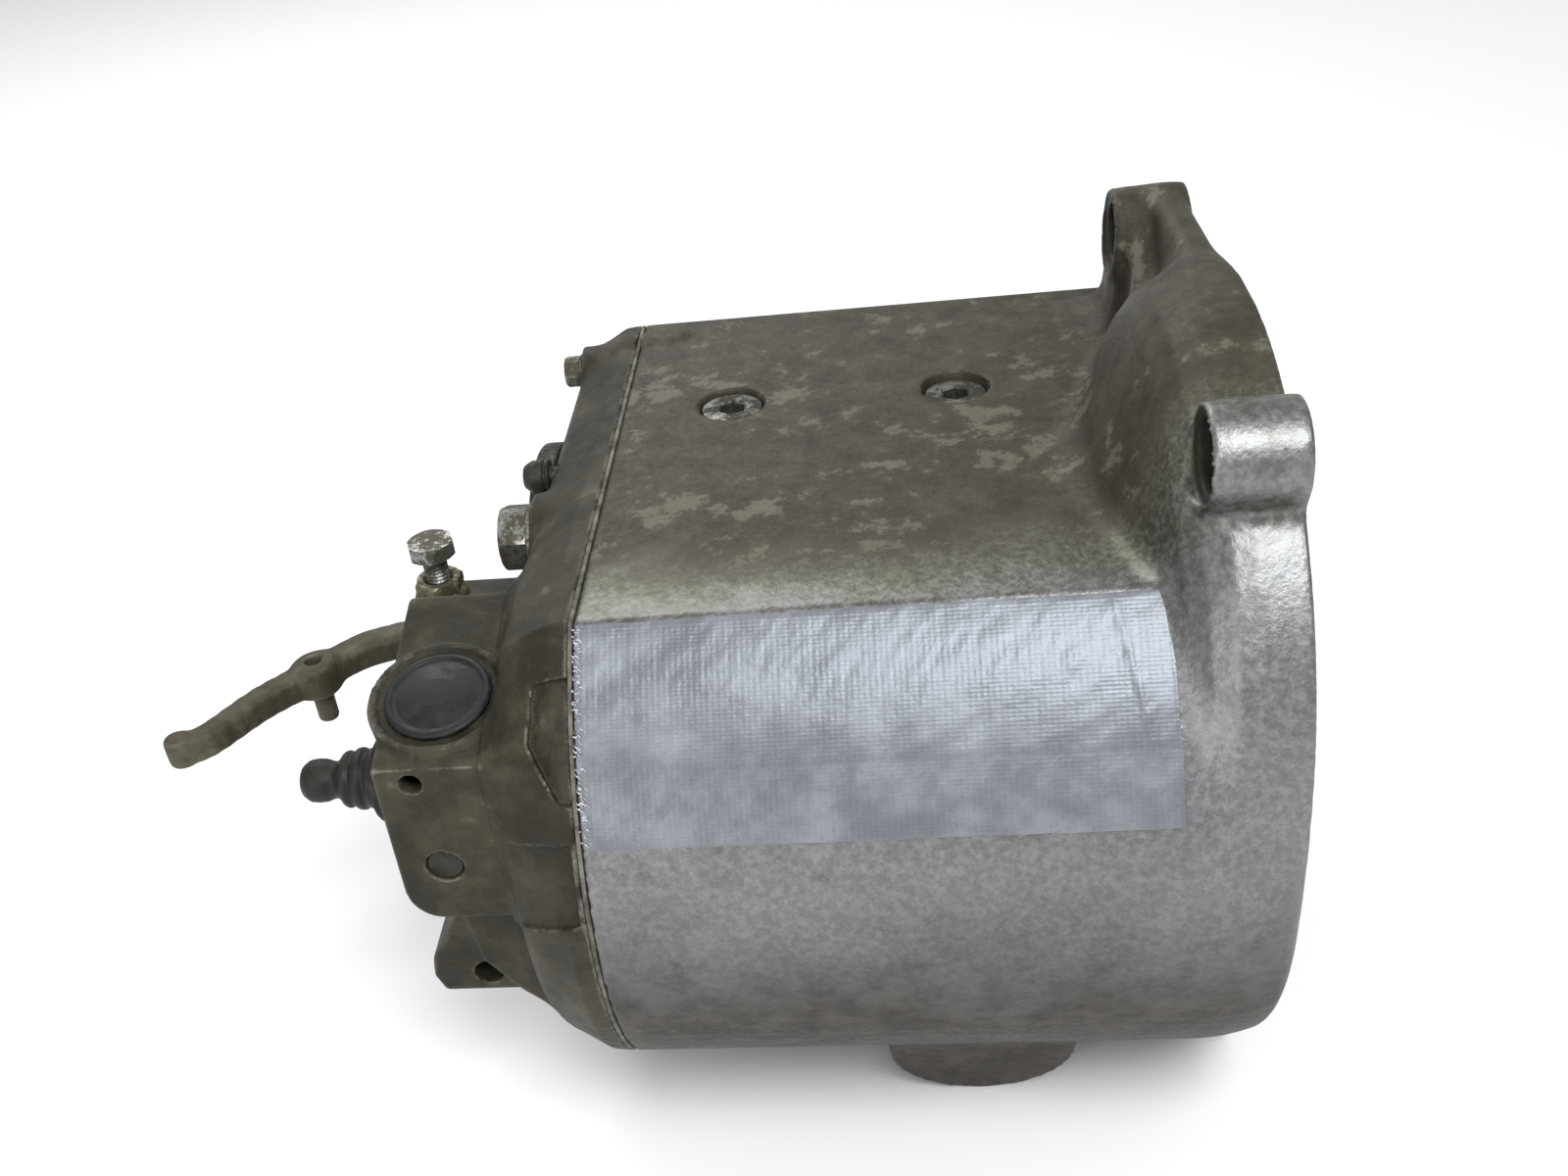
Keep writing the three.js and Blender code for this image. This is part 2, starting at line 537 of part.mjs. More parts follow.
function sleeve(name) {
  const x = SLEEVES[name];
  const end = x + SLEEVE_WIDTH;
  const outer = 27.5;
  const groove = 23.5;
  const body = turned('x', [
    [0, x], [outer, x], [outer, x + 2], [groove, x + 2],
    [groove, end - 2], [outer, end - 2], [outer, end], [0, end],
  ], OUTPUT.y, OUTPUT.z);
  const rearDogs = dogs(OUTPUT, x - DOG_HEIGHT, x + 1, SLEEVE_DOGS_AT);
  const frontDogs = dogs(OUTPUT, end - 1, end + DOG_HEIGHT, SLEEVE_DOGS_AT);
  const whole = name === 'sleeve_high' ? join(body, rearDogs) : join(body, rearDogs, frontDogs);
  return cut(whole, spline(x - 8, end + 8, 0.4));
}

// ---- shifting --------------------------------------------------------------------------------------------
function fork(name) {
  const middle = SLEEVES[name] + SLEEVE_WIDTH / 2;
  const [from, to] = [middle - 2.2, middle + 2.2];
  const towards = heading(OUTPUT, ROD);
  const reach = 100 * DEGREE;
  const prongs = prism('x', polygon([
    ...arc(OUTPUT.y, OUTPUT.z, 33, towards - reach, towards + reach, 9),
    ...arc(OUTPUT.y, OUTPUT.z, 24, towards + reach, towards - reach, 9),
  ]), from, to);
  const stem = prism('x', polygon(stadium(
    polar(33, towards, OUTPUT.y, OUTPUT.z), [ROD.y, ROD.z], 9, 8,
  )), from, to);
  const hub = rod('x', 8, middle - 6, middle + 6, ROD.y, ROD.z);
  const pin = rod('z', 2.6, ROD.z + 4, CAM.z - 0.6, middle, ROD.y + 1, 12);
  const opening = rod('x', 24, from - 1, to + 1, OUTPUT.y, OUTPUT.z, 32);
  return cut(join(prongs, cut(stem, opening), hub, pin), rod('x', ROD.r + GAP, 0, 140, ROD.y, ROD.z));
}

// a cam plate: a round plate with a toothed sector towards the other plate and a curved slot
function camPlate(x, toothAt, facing) {
  const reach = 45 * DEGREE;
  const pitchR = (CAM.front - CAM.rear) / 2;
  const count = 26;
  const step = (2 * Math.PI) / count;
  const points = arc(x, CAM.y, 22, facing + reach + 0.1, facing + 2 * Math.PI - reach - 0.1, 10);
  for (let i = -4; i <= 4; i++) {
    const at = facing + toothAt * step + i * step;
    if (Math.abs(at - facing) > reach) continue;
    for (const [r, half] of [[pitchR - 3.2, 0.066], [pitchR + 2.4, 0.026]]) {
      points.push(polar(r, at - half, x, CAM.y));
    }
    for (const [r, half] of [[pitchR + 2.4, 0.026], [pitchR - 3.2, 0.066]]) {
      points.push(polar(r, at + half, x, CAM.y));
    }
  }
  const slot = polygon([
    ...arc(x, CAM.y, 18, facing + 1.6, facing + 4.6, 8),
    ...arc(x, CAM.y, 12.5, facing + 4.6, facing + 1.6, 8),
  ]);
  return cut(
    prism('z', polygon(points), CAM.z, CAM.z + CAM.thick),
    prism('z', slot, CAM.z - 1, CAM.z + CAM.thick + 1),
    rod('z', 4 + 0.4, CAM.z - 1, CAM.z + 9, x, CAM.y),
  );
}

const camScrew = (x) => cut(
  turned('z', [
    [0, CAM.z - 3], [4, CAM.z - 3], [4, 76.4], [10.2, TOP_Z - 0.6], [0, TOP_Z - 0.6],
  ], x, CAM.y, 24),
  hexagon('z', 8, TOP_Z - 5, TOP_Z + 1, x, CAM.y),
);
const camClip = (x) => ring('z', 4.3, 7, CAM.z - 2.2, CAM.z - GAP, x, CAM.y);

function selectorShaft() {
  const shaft = rod('y', SELECTOR.r, BULGE.y0 + 1, INPUT.y - 10, SELECTOR.x, SELECTOR.z);
  const arm = prism('y', polygon(stadium([SELECTOR.z, SELECTOR.x], [38, -14], 6.6, 5)), -30, -24);
  return join(shaft, arm);
}

const selectorSpring = () => ring('y', SELECTOR.r + 0.8, SELECTOR.r + 2.4, -69, -56, SELECTOR.x, SELECTOR.z);

// ---- clutch release --------------------------------------------------------------------------------------
const LEVER_PATH = [
  [PIVOT.x, PIVOT.y], [-79.2, 11.1], [-87.2, 6.7], [-98, -4], [-111.6, -17.6], [-123.3, -35.1], [-130.5, -39],
];
const LEVER_BOSS = LEVER_PATH[3];
const LEVER_TIP = LEVER_PATH[6];

function clutchLever() {
  const path = new THREE.CatmullRomCurve3(LEVER_PATH.map(([x, y]) => new THREE.Vector3(x, y, 0)));
  const left = [];
  const right = [];
  const steps = 14;
  for (let i = 0; i <= steps; i++) {
    const t = i / steps;
    const at = path.getPoint(t);
    const along = path.getTangent(t);
    const half = 5.6 - 2 * t;
    left.push([at.x - along.y * half, at.y + along.x * half]);
    right.unshift([at.x + along.y * half, at.y - along.x * half]);
  }
  const arm = prism('z', polygon([...left, ...right]), LEVER_Z - 4.5, LEVER_Z + 4.5);
  const pivot = rod('z', PIVOT.r - 1, LEVER_Z - LEVER_HALF, LEVER_Z + LEVER_HALF, PIVOT.x, PIVOT.y);
  const nose = prism('z', polygon(stadium([PIVOT.x, PIVOT.y], [PIVOT.x + 0.5, INPUT.y], 6, 4.6)),
    LEVER_Z - LEVER_HALF, LEVER_Z + LEVER_HALF);
  const boss = rod('z', 6.6, LEVER_Z - 6, LEVER_Z + 5.5, ...LEVER_BOSS);
  const stub = turned('z', [[0, LEVER_Z - 17], [2.6, LEVER_Z - 17], [3.8, LEVER_Z - 5], [0, LEVER_Z - 5]],
    ...LEVER_BOSS, 16);
  const tip = rod('z', 3.9, LEVER_Z - 5, LEVER_Z + 4.8, ...LEVER_TIP);
  return cut(join(arm, pivot, nose, boss, stub, tip), rod('z', 4 + 0.4, 0, 80, PIVOT.x, PIVOT.y));
}

const pivotBolt = () => join(
  rod('z', 4, 11.7, 62.5, PIVOT.x, PIVOT.y),
  hexagon('z', 14, 62, 67, PIVOT.x, PIVOT.y),
  rod('z', 5, 8, 11.7, PIVOT.x, PIVOT.y),
);
const pivotNut = () => cut(
  join(hexagon('z', 14, EAR_TOP_Z + GAP, EAR_TOP_Z + 7, PIVOT.x, PIVOT.y),
    rod('z', 8.6, EAR_TOP_Z + GAP, EAR_TOP_Z + 3, PIVOT.x, PIVOT.y)),
  rod('z', 4 + GAP, 40, 70, PIVOT.x, PIVOT.y),
);

const thrustPiston = () => turned('x', [
  [0, -53.5], [2.6, -53.5], [2.6, -50], [8, -50], [8, -36], [0, -36],
], INPUT.y, INPUT.z);
const thrustBearing = () => rod('x', 7.6, -35.7, -31, INPUT.y, INPUT.z);
const pushrod = () => turned('x', [
  [0, -30.7], [6, -30.7], [6, -27], [3, -27], [3, 184], [0, 184],
], INPUT.y, INPUT.z, 16);

// ---- fasteners and fittings ------------------------------------------------------------------------------
const coverBolt = ([y, z]) => join(
  rod('x', 3, BOSS_BACK_X - 1, 20, y, z, 10),
  rod('x', 6.2, BOSS_BACK_X - 2, BOSS_BACK_X - GAP, y, z, 12),
  hexagon('x', 10, BOSS_BACK_X - 7, BOSS_BACK_X - 1.5, y, z),
);

const detentPlug = () => join(
  rod('x', 7, COVER_BACK_X - 2, -11, DETENT.y, DETENT.z),
  rod('x', 11, COVER_BACK_X - 3, COVER_BACK_X - 1.3, DETENT.y, DETENT.z),
  hexagon('x', 19, COVER_BACK_X - 12, COVER_BACK_X - 2.5, DETENT.y, DETENT.z),
);

const breatherCap = () => join(
  rod('x', 3, COVER_BACK_X - 2, COVER_BACK_X + 8, BREATHER.y, BREATHER.z, 12),
  turned('x', [[0, -9], [4, -9], [5.5, -6], [5.5, -GAP], [0, -GAP]].map(([r, h]) => [r, COVER_BACK_X + h]),
    BREATHER.y, BREATHER.z),
);

const drainPlug = () => cut(
  rod('z', 7, -99.5, -84, DRAIN.x, DRAIN.y),
  hexagon('z', 8, -101, -93, DRAIN.x, DRAIN.y),
);
const fillerPlug = () => cut(
  join(rod('y', 9, FAR_Y - 5, FAR_Y + 2.5, FILLER.x, FILLER.z),
    rod('y', 13, FAR_Y + 2.3, FAR_Y + 6, FILLER.x, FILLER.z)),
  hexagon('y', 10, FAR_Y - 2, FAR_Y + 8, FILLER.x, FILLER.z),
);

const windowPlug = () => windowAxis(turned('z', [
  [0, -4], [WINDOW.r - 1, -4], [WINDOW.r, -2], [WINDOW.r, GAP], [15.4, GAP], [15.4, 1.4], [13.8, 2.6], [0, 3],
], 0, 0, 24));

const neutralSwitch = () => join(
  rod('x', 7, BULGE.x0 - 2, BULGE.x0 + 8, SWITCH.y, SWITCH.z),
  hexagon('x', 24, BULGE.x0 - 9, BULGE.x0 - GAP, SWITCH.y, SWITCH.z),
);
const switchBoot = () => turned('x', [
  [0, -92], [5.2, -92], [6.6, -89.5], [6.6, -83.5], [5.6, -81], [8.6, -78], [9.4, -73], [9.4, BULGE.x0 - 9.3],
  [0, BULGE.x0 - 9.3],
], SWITCH.y, SWITCH.z, 20);

// two overlapping strips of adhesive tape on the near side, as one thin curved sheet
const TAPE = { x0: 1, x1: 158.5, low: 159.6, high: 124.6, lift: 0.45, thick: 0.5 };
function tapeLabel() {
  const [from, to] = [TAPE.high * DEGREE, TAPE.low * DEGREE];
  const steps = 8;
  const ends = [TAPE.x0, TAPE.x1].map((x) => {
    const inner = BARREL_R + DRAFT * x + TAPE.lift;
    return [
      ...arc(0, 0, inner, from, to, steps),
      ...arc(0, 0, inner + TAPE.thick, to, from, steps),
    ].map(([y, z]) => [x, y, z]);
  });
  const count = ends[0].length;
  const index = [];
  for (let i = 0; i < count; i++) {
    const next = (i + 1) % count;
    index.push(i, next, i + count, next, next + count, i + count);
  }
  for (let i = 0; i < steps; i++) {
    const far = count - 1 - i;
    for (const [base, order] of [[0, 1], [count, -1]]) {
      const quad = [i, i + 1, far - 1, far].map((k) => k + base);
      if (order > 0) index.push(quad[0], quad[2], quad[1], quad[0], quad[3], quad[2]);
      else index.push(quad[0], quad[1], quad[2], quad[0], quad[2], quad[3]);
    }
  }
  const geometry = new THREE.BufferGeometry();
  geometry.setAttribute('position', new THREE.Float32BufferAttribute(ends.flat(2), 3));
  geometry.setIndex(index);
  return toSolid(geometry);
}

// ---- build -----------------------------------------------------------------------------------------------
add('housing', 'castAluminium', housing());
add('cover_gasket', 'gasketPaper', gasket());
add('rear_cover', 'grimyAluminium', rearCover());
COVER_BOLTS.forEach((at, i) => add(`cover_bolt_${i + 1}`, 'steel', coverBolt(at)));
for (const [side, x] of [['rear', CAM.rear], ['front', CAM.front]]) {
  add(`cam_screw_${side}`, 'darkSteel', camScrew(x));
  add(`cam_clip_${side}`, 'steel', camClip(x));
}
add('cam_plate_rear', 'gearSteel', camPlate(CAM.rear, 0, 0));
add('cam_plate_front', 'gearSteel', camPlate(CAM.front, 0.5, Math.PI));
add('detent_plug', 'steel', detentPlug());
add('breather_cap', 'darkSteel', breatherCap());
add('drain_plug', 'steel', drainPlug());
add('filler_plug', 'steel', fillerPlug());
add('window_plug', 'rubber', windowPlug());
DOWELS.forEach(([y, z], i) => add(`dowel_${i + 1}`, 'steel', rod('x', DOWEL_R, -6, 5, y, z, 10)));
add('input_seal', 'rubber', ring('x', SHAFT_R + 0.5, 20, 158.6, 164.5, INPUT.y, INPUT.z));
add('output_seal', 'rubber',
  ring('x', SHAFT_R + 0.5, 22, COVER_BACK_X - 0.7, COVER_BACK_X + 4, OUTPUT.y, OUTPUT.z));
for (const [shaft, { axis, r }] of Object.entries(BEARINGS)) {
  const bore = { input: SHAFT_R + 1, lay: 10, output: SHAFT_R }[shaft] + GAP;
  const bearing = (x) => ring('x', bore, r, x, x + BEARING_WIDTH, axis.y, axis.z);
  add(`${shaft}_bearing_front`, 'steel', bearing(FRONT_SEAT_X));
  add(`${shaft}_bearing_rear`, 'steel', bearing(REAR_SEAT_X));
}
add('neutral_switch', 'darkSteel', neutralSwitch());
add('switch_boot', 'rubber', switchBoot());
add('tape_label', 'tape', tapeLabel());
add('fork_rod', 'steel', rod('x', ROD.r, -15, WEB_X + 5, ROD.y, ROD.z));
add('input_shaft', 'gearSteel', inputShaft());
add('damper_cam', 'gearSteel', damperCam());
add('damper_spring', 'steel', damperSpring());
add('layshaft', 'gearSteel', layshaft());
add('output_shaft', 'gearSteel', outputShaft());
add('output_flange', 'darkSteel', cut(
  join(rod('x', 44, -36, -28, OUTPUT.y, OUTPUT.z, 28), rod('x', 19, -37, -25.4, OUTPUT.y, OUTPUT.z)),
  rod('x', SHAFT_R + 0.4, -50, -20, OUTPUT.y, OUTPUT.z),
  ...[45, 135, 225, 315].map((angle) => {
    const [y, z] = polar(34, angle * DEGREE, OUTPUT.y, OUTPUT.z);
    return rod('x', 4.2, -50, -30, y, z);
  }),
));
add('output_nut', 'steel', cut(
  hexagon('x', 27, -45, -38.3, OUTPUT.y, OUTPUT.z), rod('x', 7.4, -60, -30, OUTPUT.y, OUTPUT.z),
));
for (const name of Object.keys(GEAR_PAIRS)) add(name, 'gearSteel', looseGear(name));
for (const name of Object.keys(SLEEVES)) {
  add(name, 'gearSteel', sleeve(name));
  add(name.replace('sleeve', 'fork'), 'steel', fork(name));
}
add('selector_shaft', 'steel', selectorShaft());
add('selector_spring', 'steel', selectorSpring());
add('clutch_lever', 'castAluminium', clutchLever());
add('clutch_pivot_bolt', 'zincSteel', pivotBolt());
add('clutch_pivot_nut', 'zincSteel', pivotNut());
add('thrust_piston', 'steel', thrustPiston());
add('thrust_bearing', 'steel', thrustBearing());
add('clutch_pushrod', 'steel', pushrod());

const bounds = new THREE.Box3().setFromObject(assembly);
const middle = bounds.getCenter(new THREE.Vector3());
assembly.position.set(-middle.x, -middle.y, -bounds.min.z);

const group = new THREE.Group();
group.add(assembly);
group.updateMatrixWorld(true);

export default group;
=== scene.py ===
# Looks of a motorcycle manual transmission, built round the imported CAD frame.
# Shapes are given in millimetres from the casing joint on the barrel's centre line (the design axes) and
# are moved into the frame by at(). Castings are distance fields turned into meshes; most of the rest is
# turned or hexagonal.
import json
import math

import bmesh
import bpy
import numpy as np
from mathutils import Matrix, Vector


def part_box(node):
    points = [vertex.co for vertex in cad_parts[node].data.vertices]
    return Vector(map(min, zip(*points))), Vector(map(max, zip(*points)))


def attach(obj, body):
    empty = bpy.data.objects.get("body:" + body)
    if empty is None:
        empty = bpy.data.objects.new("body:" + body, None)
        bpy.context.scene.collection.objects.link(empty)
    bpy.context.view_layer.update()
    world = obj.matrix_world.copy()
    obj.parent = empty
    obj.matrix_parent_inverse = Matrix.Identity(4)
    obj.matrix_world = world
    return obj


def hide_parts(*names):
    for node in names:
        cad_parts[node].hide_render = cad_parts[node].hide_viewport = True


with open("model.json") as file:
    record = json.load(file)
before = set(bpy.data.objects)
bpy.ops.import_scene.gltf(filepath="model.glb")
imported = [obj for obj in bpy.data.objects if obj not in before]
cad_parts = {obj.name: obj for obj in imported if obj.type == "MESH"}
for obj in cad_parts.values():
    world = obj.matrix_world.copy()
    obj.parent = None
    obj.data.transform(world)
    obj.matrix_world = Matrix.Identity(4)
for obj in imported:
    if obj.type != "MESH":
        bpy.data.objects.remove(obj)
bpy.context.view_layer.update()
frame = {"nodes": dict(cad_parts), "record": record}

MM = 0.001

# ---- design axes, found from the fork rod, whose place on them is known ---------------------------
ROD_Y, ROD_Z, ROD_REAR_X = 44.0, 57.0, -15.0
_low, _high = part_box("fork_rod")
ORIGIN = Vector((
    _low.x - ROD_REAR_X * MM,
    (_low.y + _high.y) / 2 - ROD_Y * MM,
    (_low.z + _high.z) / 2 - ROD_Z * MM,
))


IN_FRAME = Matrix.Translation(ORIGIN) @ Matrix.Scale(MM, 4)


def at(x, y, z):
    return ORIGIN + Vector((x, y, z)) * MM


# ---- driving dimensions, as in the CAD ------------------------------------------------------------
BARREL_R, TOP_Z, FAR_Y = 100.0, 83.0, 141.0
BODY_LENGTH, WEB_X, WEB_THICK, WALL = 191.0, 145.0, 20.0, 6.0
DRAFT = 0.0146
BELL_R, BELL_BORE_R = 104.5, 91.0
INPUT, OUTPUT, LAY = (10.0, 30.0), (80.0, 17.0), (32.2, -23.1)
EARS = [(112, 116, 14.5), (-51, 119.5, 14), (-30, -98, 14), (118, -44, 15)]
EAR_X = 166.0
SIDE_BOSS, SIDE_BOSS_R, SIDE_BOSS_TILT = (106.5, -65.0, -83.5), 29.5, math.radians(16)
CAM_SCREWS, CAM_Y = (36.3, 110.4), 67.2
COVER_X, COVER_BACK_X = -1.3, -24.0
BOSS_BACK_X = COVER_BACK_X + 1
COVER_BOLTS = [(127, 71), (130, -12), (93, -74), (22, -89), (-42, -80)]
BULGE = dict(x0=-59.0, x1=-2.0, y0=-76.0, y1=12.0, z0=-6.0)
CREST_Y, CREST_Z, NEAR_Z, BULGE_FAR_Z = -13.0, 66.0, 50.9, 44.0
PIVOT, EAR_TOP_Z, LEVER_Z, LEVER_HALF = (-59.0, 18.0), 46.5, 33.0, 7.5
LEVER_PATH = [PIVOT, (-79.2, 11.1), (-87.2, 6.7), (-98, -4), (-111.6, -17.6), (-123.3, -35.1), (-130.5, -39)]
WINDOW = (-43.2, -51.6, 14.0)
SWITCH = (-47.0, 25.0)
SELECTOR = (-45.0, 15.0)
DETENT, BREATHER = (22.0, 64.0), (50.0, 70.0)
DRAIN, FILLER = (70.0, 30.0), (96.0, 30.0)
LUG_HOLE = (-44.3, -39.0)
BEARING_SEATS = ((INPUT, 24.3), (LAY, 21.3), (OUTPUT, 26.3))
ROD_R = 5.0


# ---- distance fields ------------------------------------------------------------------------------
class Field:
    """A signed distance on a grid over a box in design millimetres, joined and cut with fillets."""

    def __init__(self, low, high, step):
        self.step = step
        self.axes = [np.arange(a - 2 * step, b + 3 * step, step, dtype=np.float32) for a, b in zip(low, high)]
        self.value = np.full([len(a) for a in self.axes], 1e3, np.float32)

    def _block(self, box, pad):
        cut = []
        for axis, (a, b) in zip(self.axes, box):
            first = max(int(np.searchsorted(axis, a - pad)) - 1, 0)
            cut.append(slice(first, int(np.searchsorted(axis, b + pad)) + 1))
        x, y, z = (axis[s] for axis, s in zip(self.axes, cut))
        return tuple(cut), x[:, None, None], y[None, :, None], z[None, None, :]

    def join(self, solid, fillet=2.0):
        shape, box = solid
        cut, x, y, z = self._block(box, fillet + 4)
        if self.value[cut].size:
            new = shape(x, y, z)
            old = self.value[cut]
            h = np.clip(0.5 + 0.5 * (new - old) / fillet, 0, 1)
            self.value[cut] = new + (old - new) * h - fillet * h * (1 - h)

    def cut(self, solid, fillet=0.8):
        shape, box = solid
        cut, x, y, z = self._block(box, fillet + 2)
        if self.value[cut].size:
            new = -shape(x, y, z)
            old = self.value[cut]
            h = np.clip(0.5 - 0.5 * (new - old) / fillet, 0, 1)
            self.value[cut] = new + (old - new) * h + fillet * h * (1 - h)

    def mesh(self):
        """Surface nets: a point in each cell that the surface crosses, a face for each crossed grid edge."""
        v = self.value
        inside = v < 0
        n = [s - 1 for s in v.shape]
        total = np.zeros(n, np.int8)
        for i in (0, 1):
            for j in (0, 1):
                for k in (0, 1):
                    total += inside[i:i + n[0], j:j + n[1], k:k + n[2]]
        cells = np.argwhere((total > 0) & (total < 8))
        index = np.full(n, -1, np.int32)
        index[tuple(cells.T)] = np.arange(len(cells))
        corner = {}
        for i in (0, 1):
            for j in (0, 1):
                for k in (0, 1):
                    corner[i, j, k] = v[cells[:, 0] + i, cells[:, 1] + j, cells[:, 2] + k]
        points = np.zeros((len(cells), 3), np.float32)
        hits = np.zeros(len(cells), np.float32)
        for a in corner:
            for axis in range(3):
                if a[axis]:
                    continue
                b = tuple(1 if q == axis else c for q, c in enumerate(a))
                crossed = (corner[a] < 0) != (corner[b] < 0)
                share = corner[a] / np.where(crossed, corner[a] - corner[b], 1)
                spot = np.array(a, np.float32)[None, :].repeat(len(cells), 0)
                spot[:, axis] += share
                points += np.where(crossed[:, None], spot, 0)
                hits += crossed
        points = cells + points / hits[:, None]
        points = points * self.step + np.array([a[0] for a in self.axes], np.float32)
        faces = []
        for axis in range(3):
            b, c = (axis + 1) % 3, (axis + 2) % 3
            low = [slice(1, n[q]) if q != axis else slice(0, n[q]) for q in range(3)]
            high = list(low)
            high[axis] = slice(1, n[axis] + 1)
            here, there = inside[tuple(low)], inside[tuple(high)]
            for leaving in (True, False):
                edges = np.argwhere(here & ~there if leaving else ~here & there)
                edges[:, b] += 1
                edges[:, c] += 1
                quad = []
                for db, dc in ((-1, -1), (0, -1), (0, 0), (-1, 0)):
                    cell = edges.copy()
                    cell[:, b] += db
                    cell[:, c] += dc
                    quad.append(index[tuple(cell.T)])
                faces.append(np.stack(quad if leaving else quad[::-1], 1))
        return points, np.concatenate(faces)


def outside(*distances):
    """Distance of a solid that is the crossing of slabs or profiles, exact outside its edges."""
    parts = np.broadcast_arrays(*distances)
    reach = np.sqrt(sum(np.maximum(d, 0) ** 2 for d in parts))
    return reach + np.minimum(np.maximum.reduce(parts), 0)


def slab(value, low, high):
    return np.abs(value - (low + high) / 2) - (high - low) / 2


def block(x0, x1, y0, y1, z0, z1, round_=1.5):
    def shape(x, y, z):
        return outside(slab(x, x0 + round_, x1 - round_), slab(y, y0 + round_, y1 - round_),
                       slab(z, z0 + round_, z1 - round_)) - round_
    return shape, ((x0, x1), (y0, y1), (z0, z1))


def cylinder(axis, r, low, high, a, b, round_=0.0):
    """A cylinder along x, y or z; a and b are its centre on the other two axes."""
    k = "xyz".index(axis)

    def shape(*xyz):
        h = xyz[k]
        u, v = [xyz[q] for q in range(3) if q != k]
        radial = np.sqrt((u - a) ** 2 + (v - b) ** 2) - (r - round_)
        return outside(radial, slab(h, low + round_, high - round_)) - round_
    box = [(a - r, a + r), (b - r, b + r)]
    box.insert(k, (low, high))
    return shape, box


def polygon_distance(points, u, v):
    """Signed distance in the plane to a closed polygon, negative inside."""
    points = np.asarray(points, float)
    best = None
    winding = None
    for (ax, ay), (bx, by) in zip(points, np.roll(points, -1, 0)):
        ex, ey = bx - ax, by - ay
        wx, wy = u - ax, v - ay
        t = np.clip((wx * ex + wy * ey) / (ex * ex + ey * ey + 1e-12), 0, 1)
        d = (wx - ex * t) ** 2 + (wy - ey * t) ** 2
        best = d if best is None else np.minimum(best, d)
        crosses = ((ay <= v) != (by <= v)) & ((bx - ax) * (v - ay) / (by - ay + 1e-12) + ax > u)
        winding = crosses if winding is None else winding ^ crosses
    return np.where(winding, -1, 1) * np.sqrt(best)


def prism(axis, points, low, high, round_=1.5, grow=None):
    """A polygon extruded along an axis; grow(h) widens it along its length."""
    k = "xyz".index(axis)
    points = np.asarray(points, float)

    def shape(*xyz):
        h = xyz[k]
        u, v = [xyz[q] for q in range(3) if q != k]
        flat = polygon_distance(points, u, v) + round_
        if grow:
            flat = flat - grow(h)
        return outside(flat, slab(h, low + round_, high - round_)) - round_
    extra = 4 if grow else 0
    box = [(points[:, q].min() - extra, points[:, q].max() + extra) for q in (0, 1)]
    box.insert(k, (low, high))
    return shape, box


def bar(axis, a, b, ra, rb, low, high, round_=1.0):
    """A straight bar with round ends of two radii, seen along an axis."""
    k = "xyz".index(axis)
    length = math.hypot(b[0] - a[0], b[1] - a[1])

    def shape(*xyz):
        h = xyz[k]
        u, v = [xyz[q] for q in range(3) if q != k]
        t = np.clip(((u - a[0]) * (b[0] - a[0]) + (v - a[1]) * (b[1] - a[1])) / length ** 2, 0, 1)
        flat = np.sqrt((u - a[0] - (b[0] - a[0]) * t) ** 2 + (v - a[1] - (b[1] - a[1]) * t) ** 2)
        flat = flat - (ra + (rb - ra) * t) + round_
        return outside(flat, slab(h, low + round_, high - round_)) - round_
    widest = max(ra, rb)
    box = [(min(a[q], b[q]) - widest, max(a[q], b[q]) + widest) for q in (0, 1)]
    box.insert(k, (low, high))
    return shape, box


def arc(cy, cz, r, start, end, steps):
    turn = np.linspace(start, end, steps + 1)
    return [(cy + r * math.cos(t), cz + r * math.sin(t)) for t in turn]


def casing_outline(inset=0.0):
    belly, corner = 90.0, max(5.0 - inset, 1.0)
    near, flat = BARREL_R - inset, TOP_Z - inset
    return [
        *arc(FAR_Y - belly, belly - BARREL_R, belly - inset, -math.pi / 2, 0, 18),
        *arc(FAR_Y - inset - corner, flat - corner, corner, 0, math.pi / 2, 6),
        *arc(0, 0, near, math.pi - math.asin(flat / near), 1.5 * math.pi, 40),
    ]


def skin(profile, round_=1.0, angles=None):
    """Solid under the casing's outline: profile is a closed polygon of x and depth below the outline.
    With angles, a polygon of x and degrees about the barrel's axis, only the patch inside that polygon."""
    outline = casing_outline()
    xs = [p[0] for p in profile]

    def shape(x, y, z):
        depth = -polygon_distance(outline, y, z)
        flat = polygon_distance(profile, x, depth) + round_
        if angles is None:
            return flat - round_
        around = np.degrees(np.arctan2(z, y)) % 360 * math.radians(1) * BARREL_R
        patch = polygon_distance([(px, math.radians(t) * BARREL_R) for px, t in angles], x, around)
        return outside(flat, patch + round_) - round_
    return shape, ((min(xs), max(xs)), (-BARREL_R - 3, FAR_Y + 3), (-BARREL_R - 3, TOP_Z + 3))


def revolved(profile, centre):
    """A closed polygon of x and radius, turned round an X axis."""
    xs, rs = [p[0] for p in profile], max(p[1] for p in profile)

    def shape(x, y, z):
        return polygon_distance(profile, x, np.sqrt((y - centre[0]) ** 2 + (z - centre[1]) ** 2))
    return shape, ((min(xs), max(xs)), (centre[0] - rs, centre[0] + rs), (centre[1] - rs, centre[1] + rs))


# ---- meshes ---------------------------------------------------------------------------------------
def place(name, mesh_data, body, material, replaces=(), smooth=True):
    """Links a mesh that is already in the frame, gives it a material and rides it on a body."""
    piece = bpy.data.objects.new(name, mesh_data)
    bpy.context.scene.collection.objects.link(piece)
    mesh_data.materials.clear()
    mesh_data.materials.append(material)
    if smooth:
        mesh_data.shade_smooth()
    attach(piece, body)
    if replaces:
        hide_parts(*replaces)
    return piece


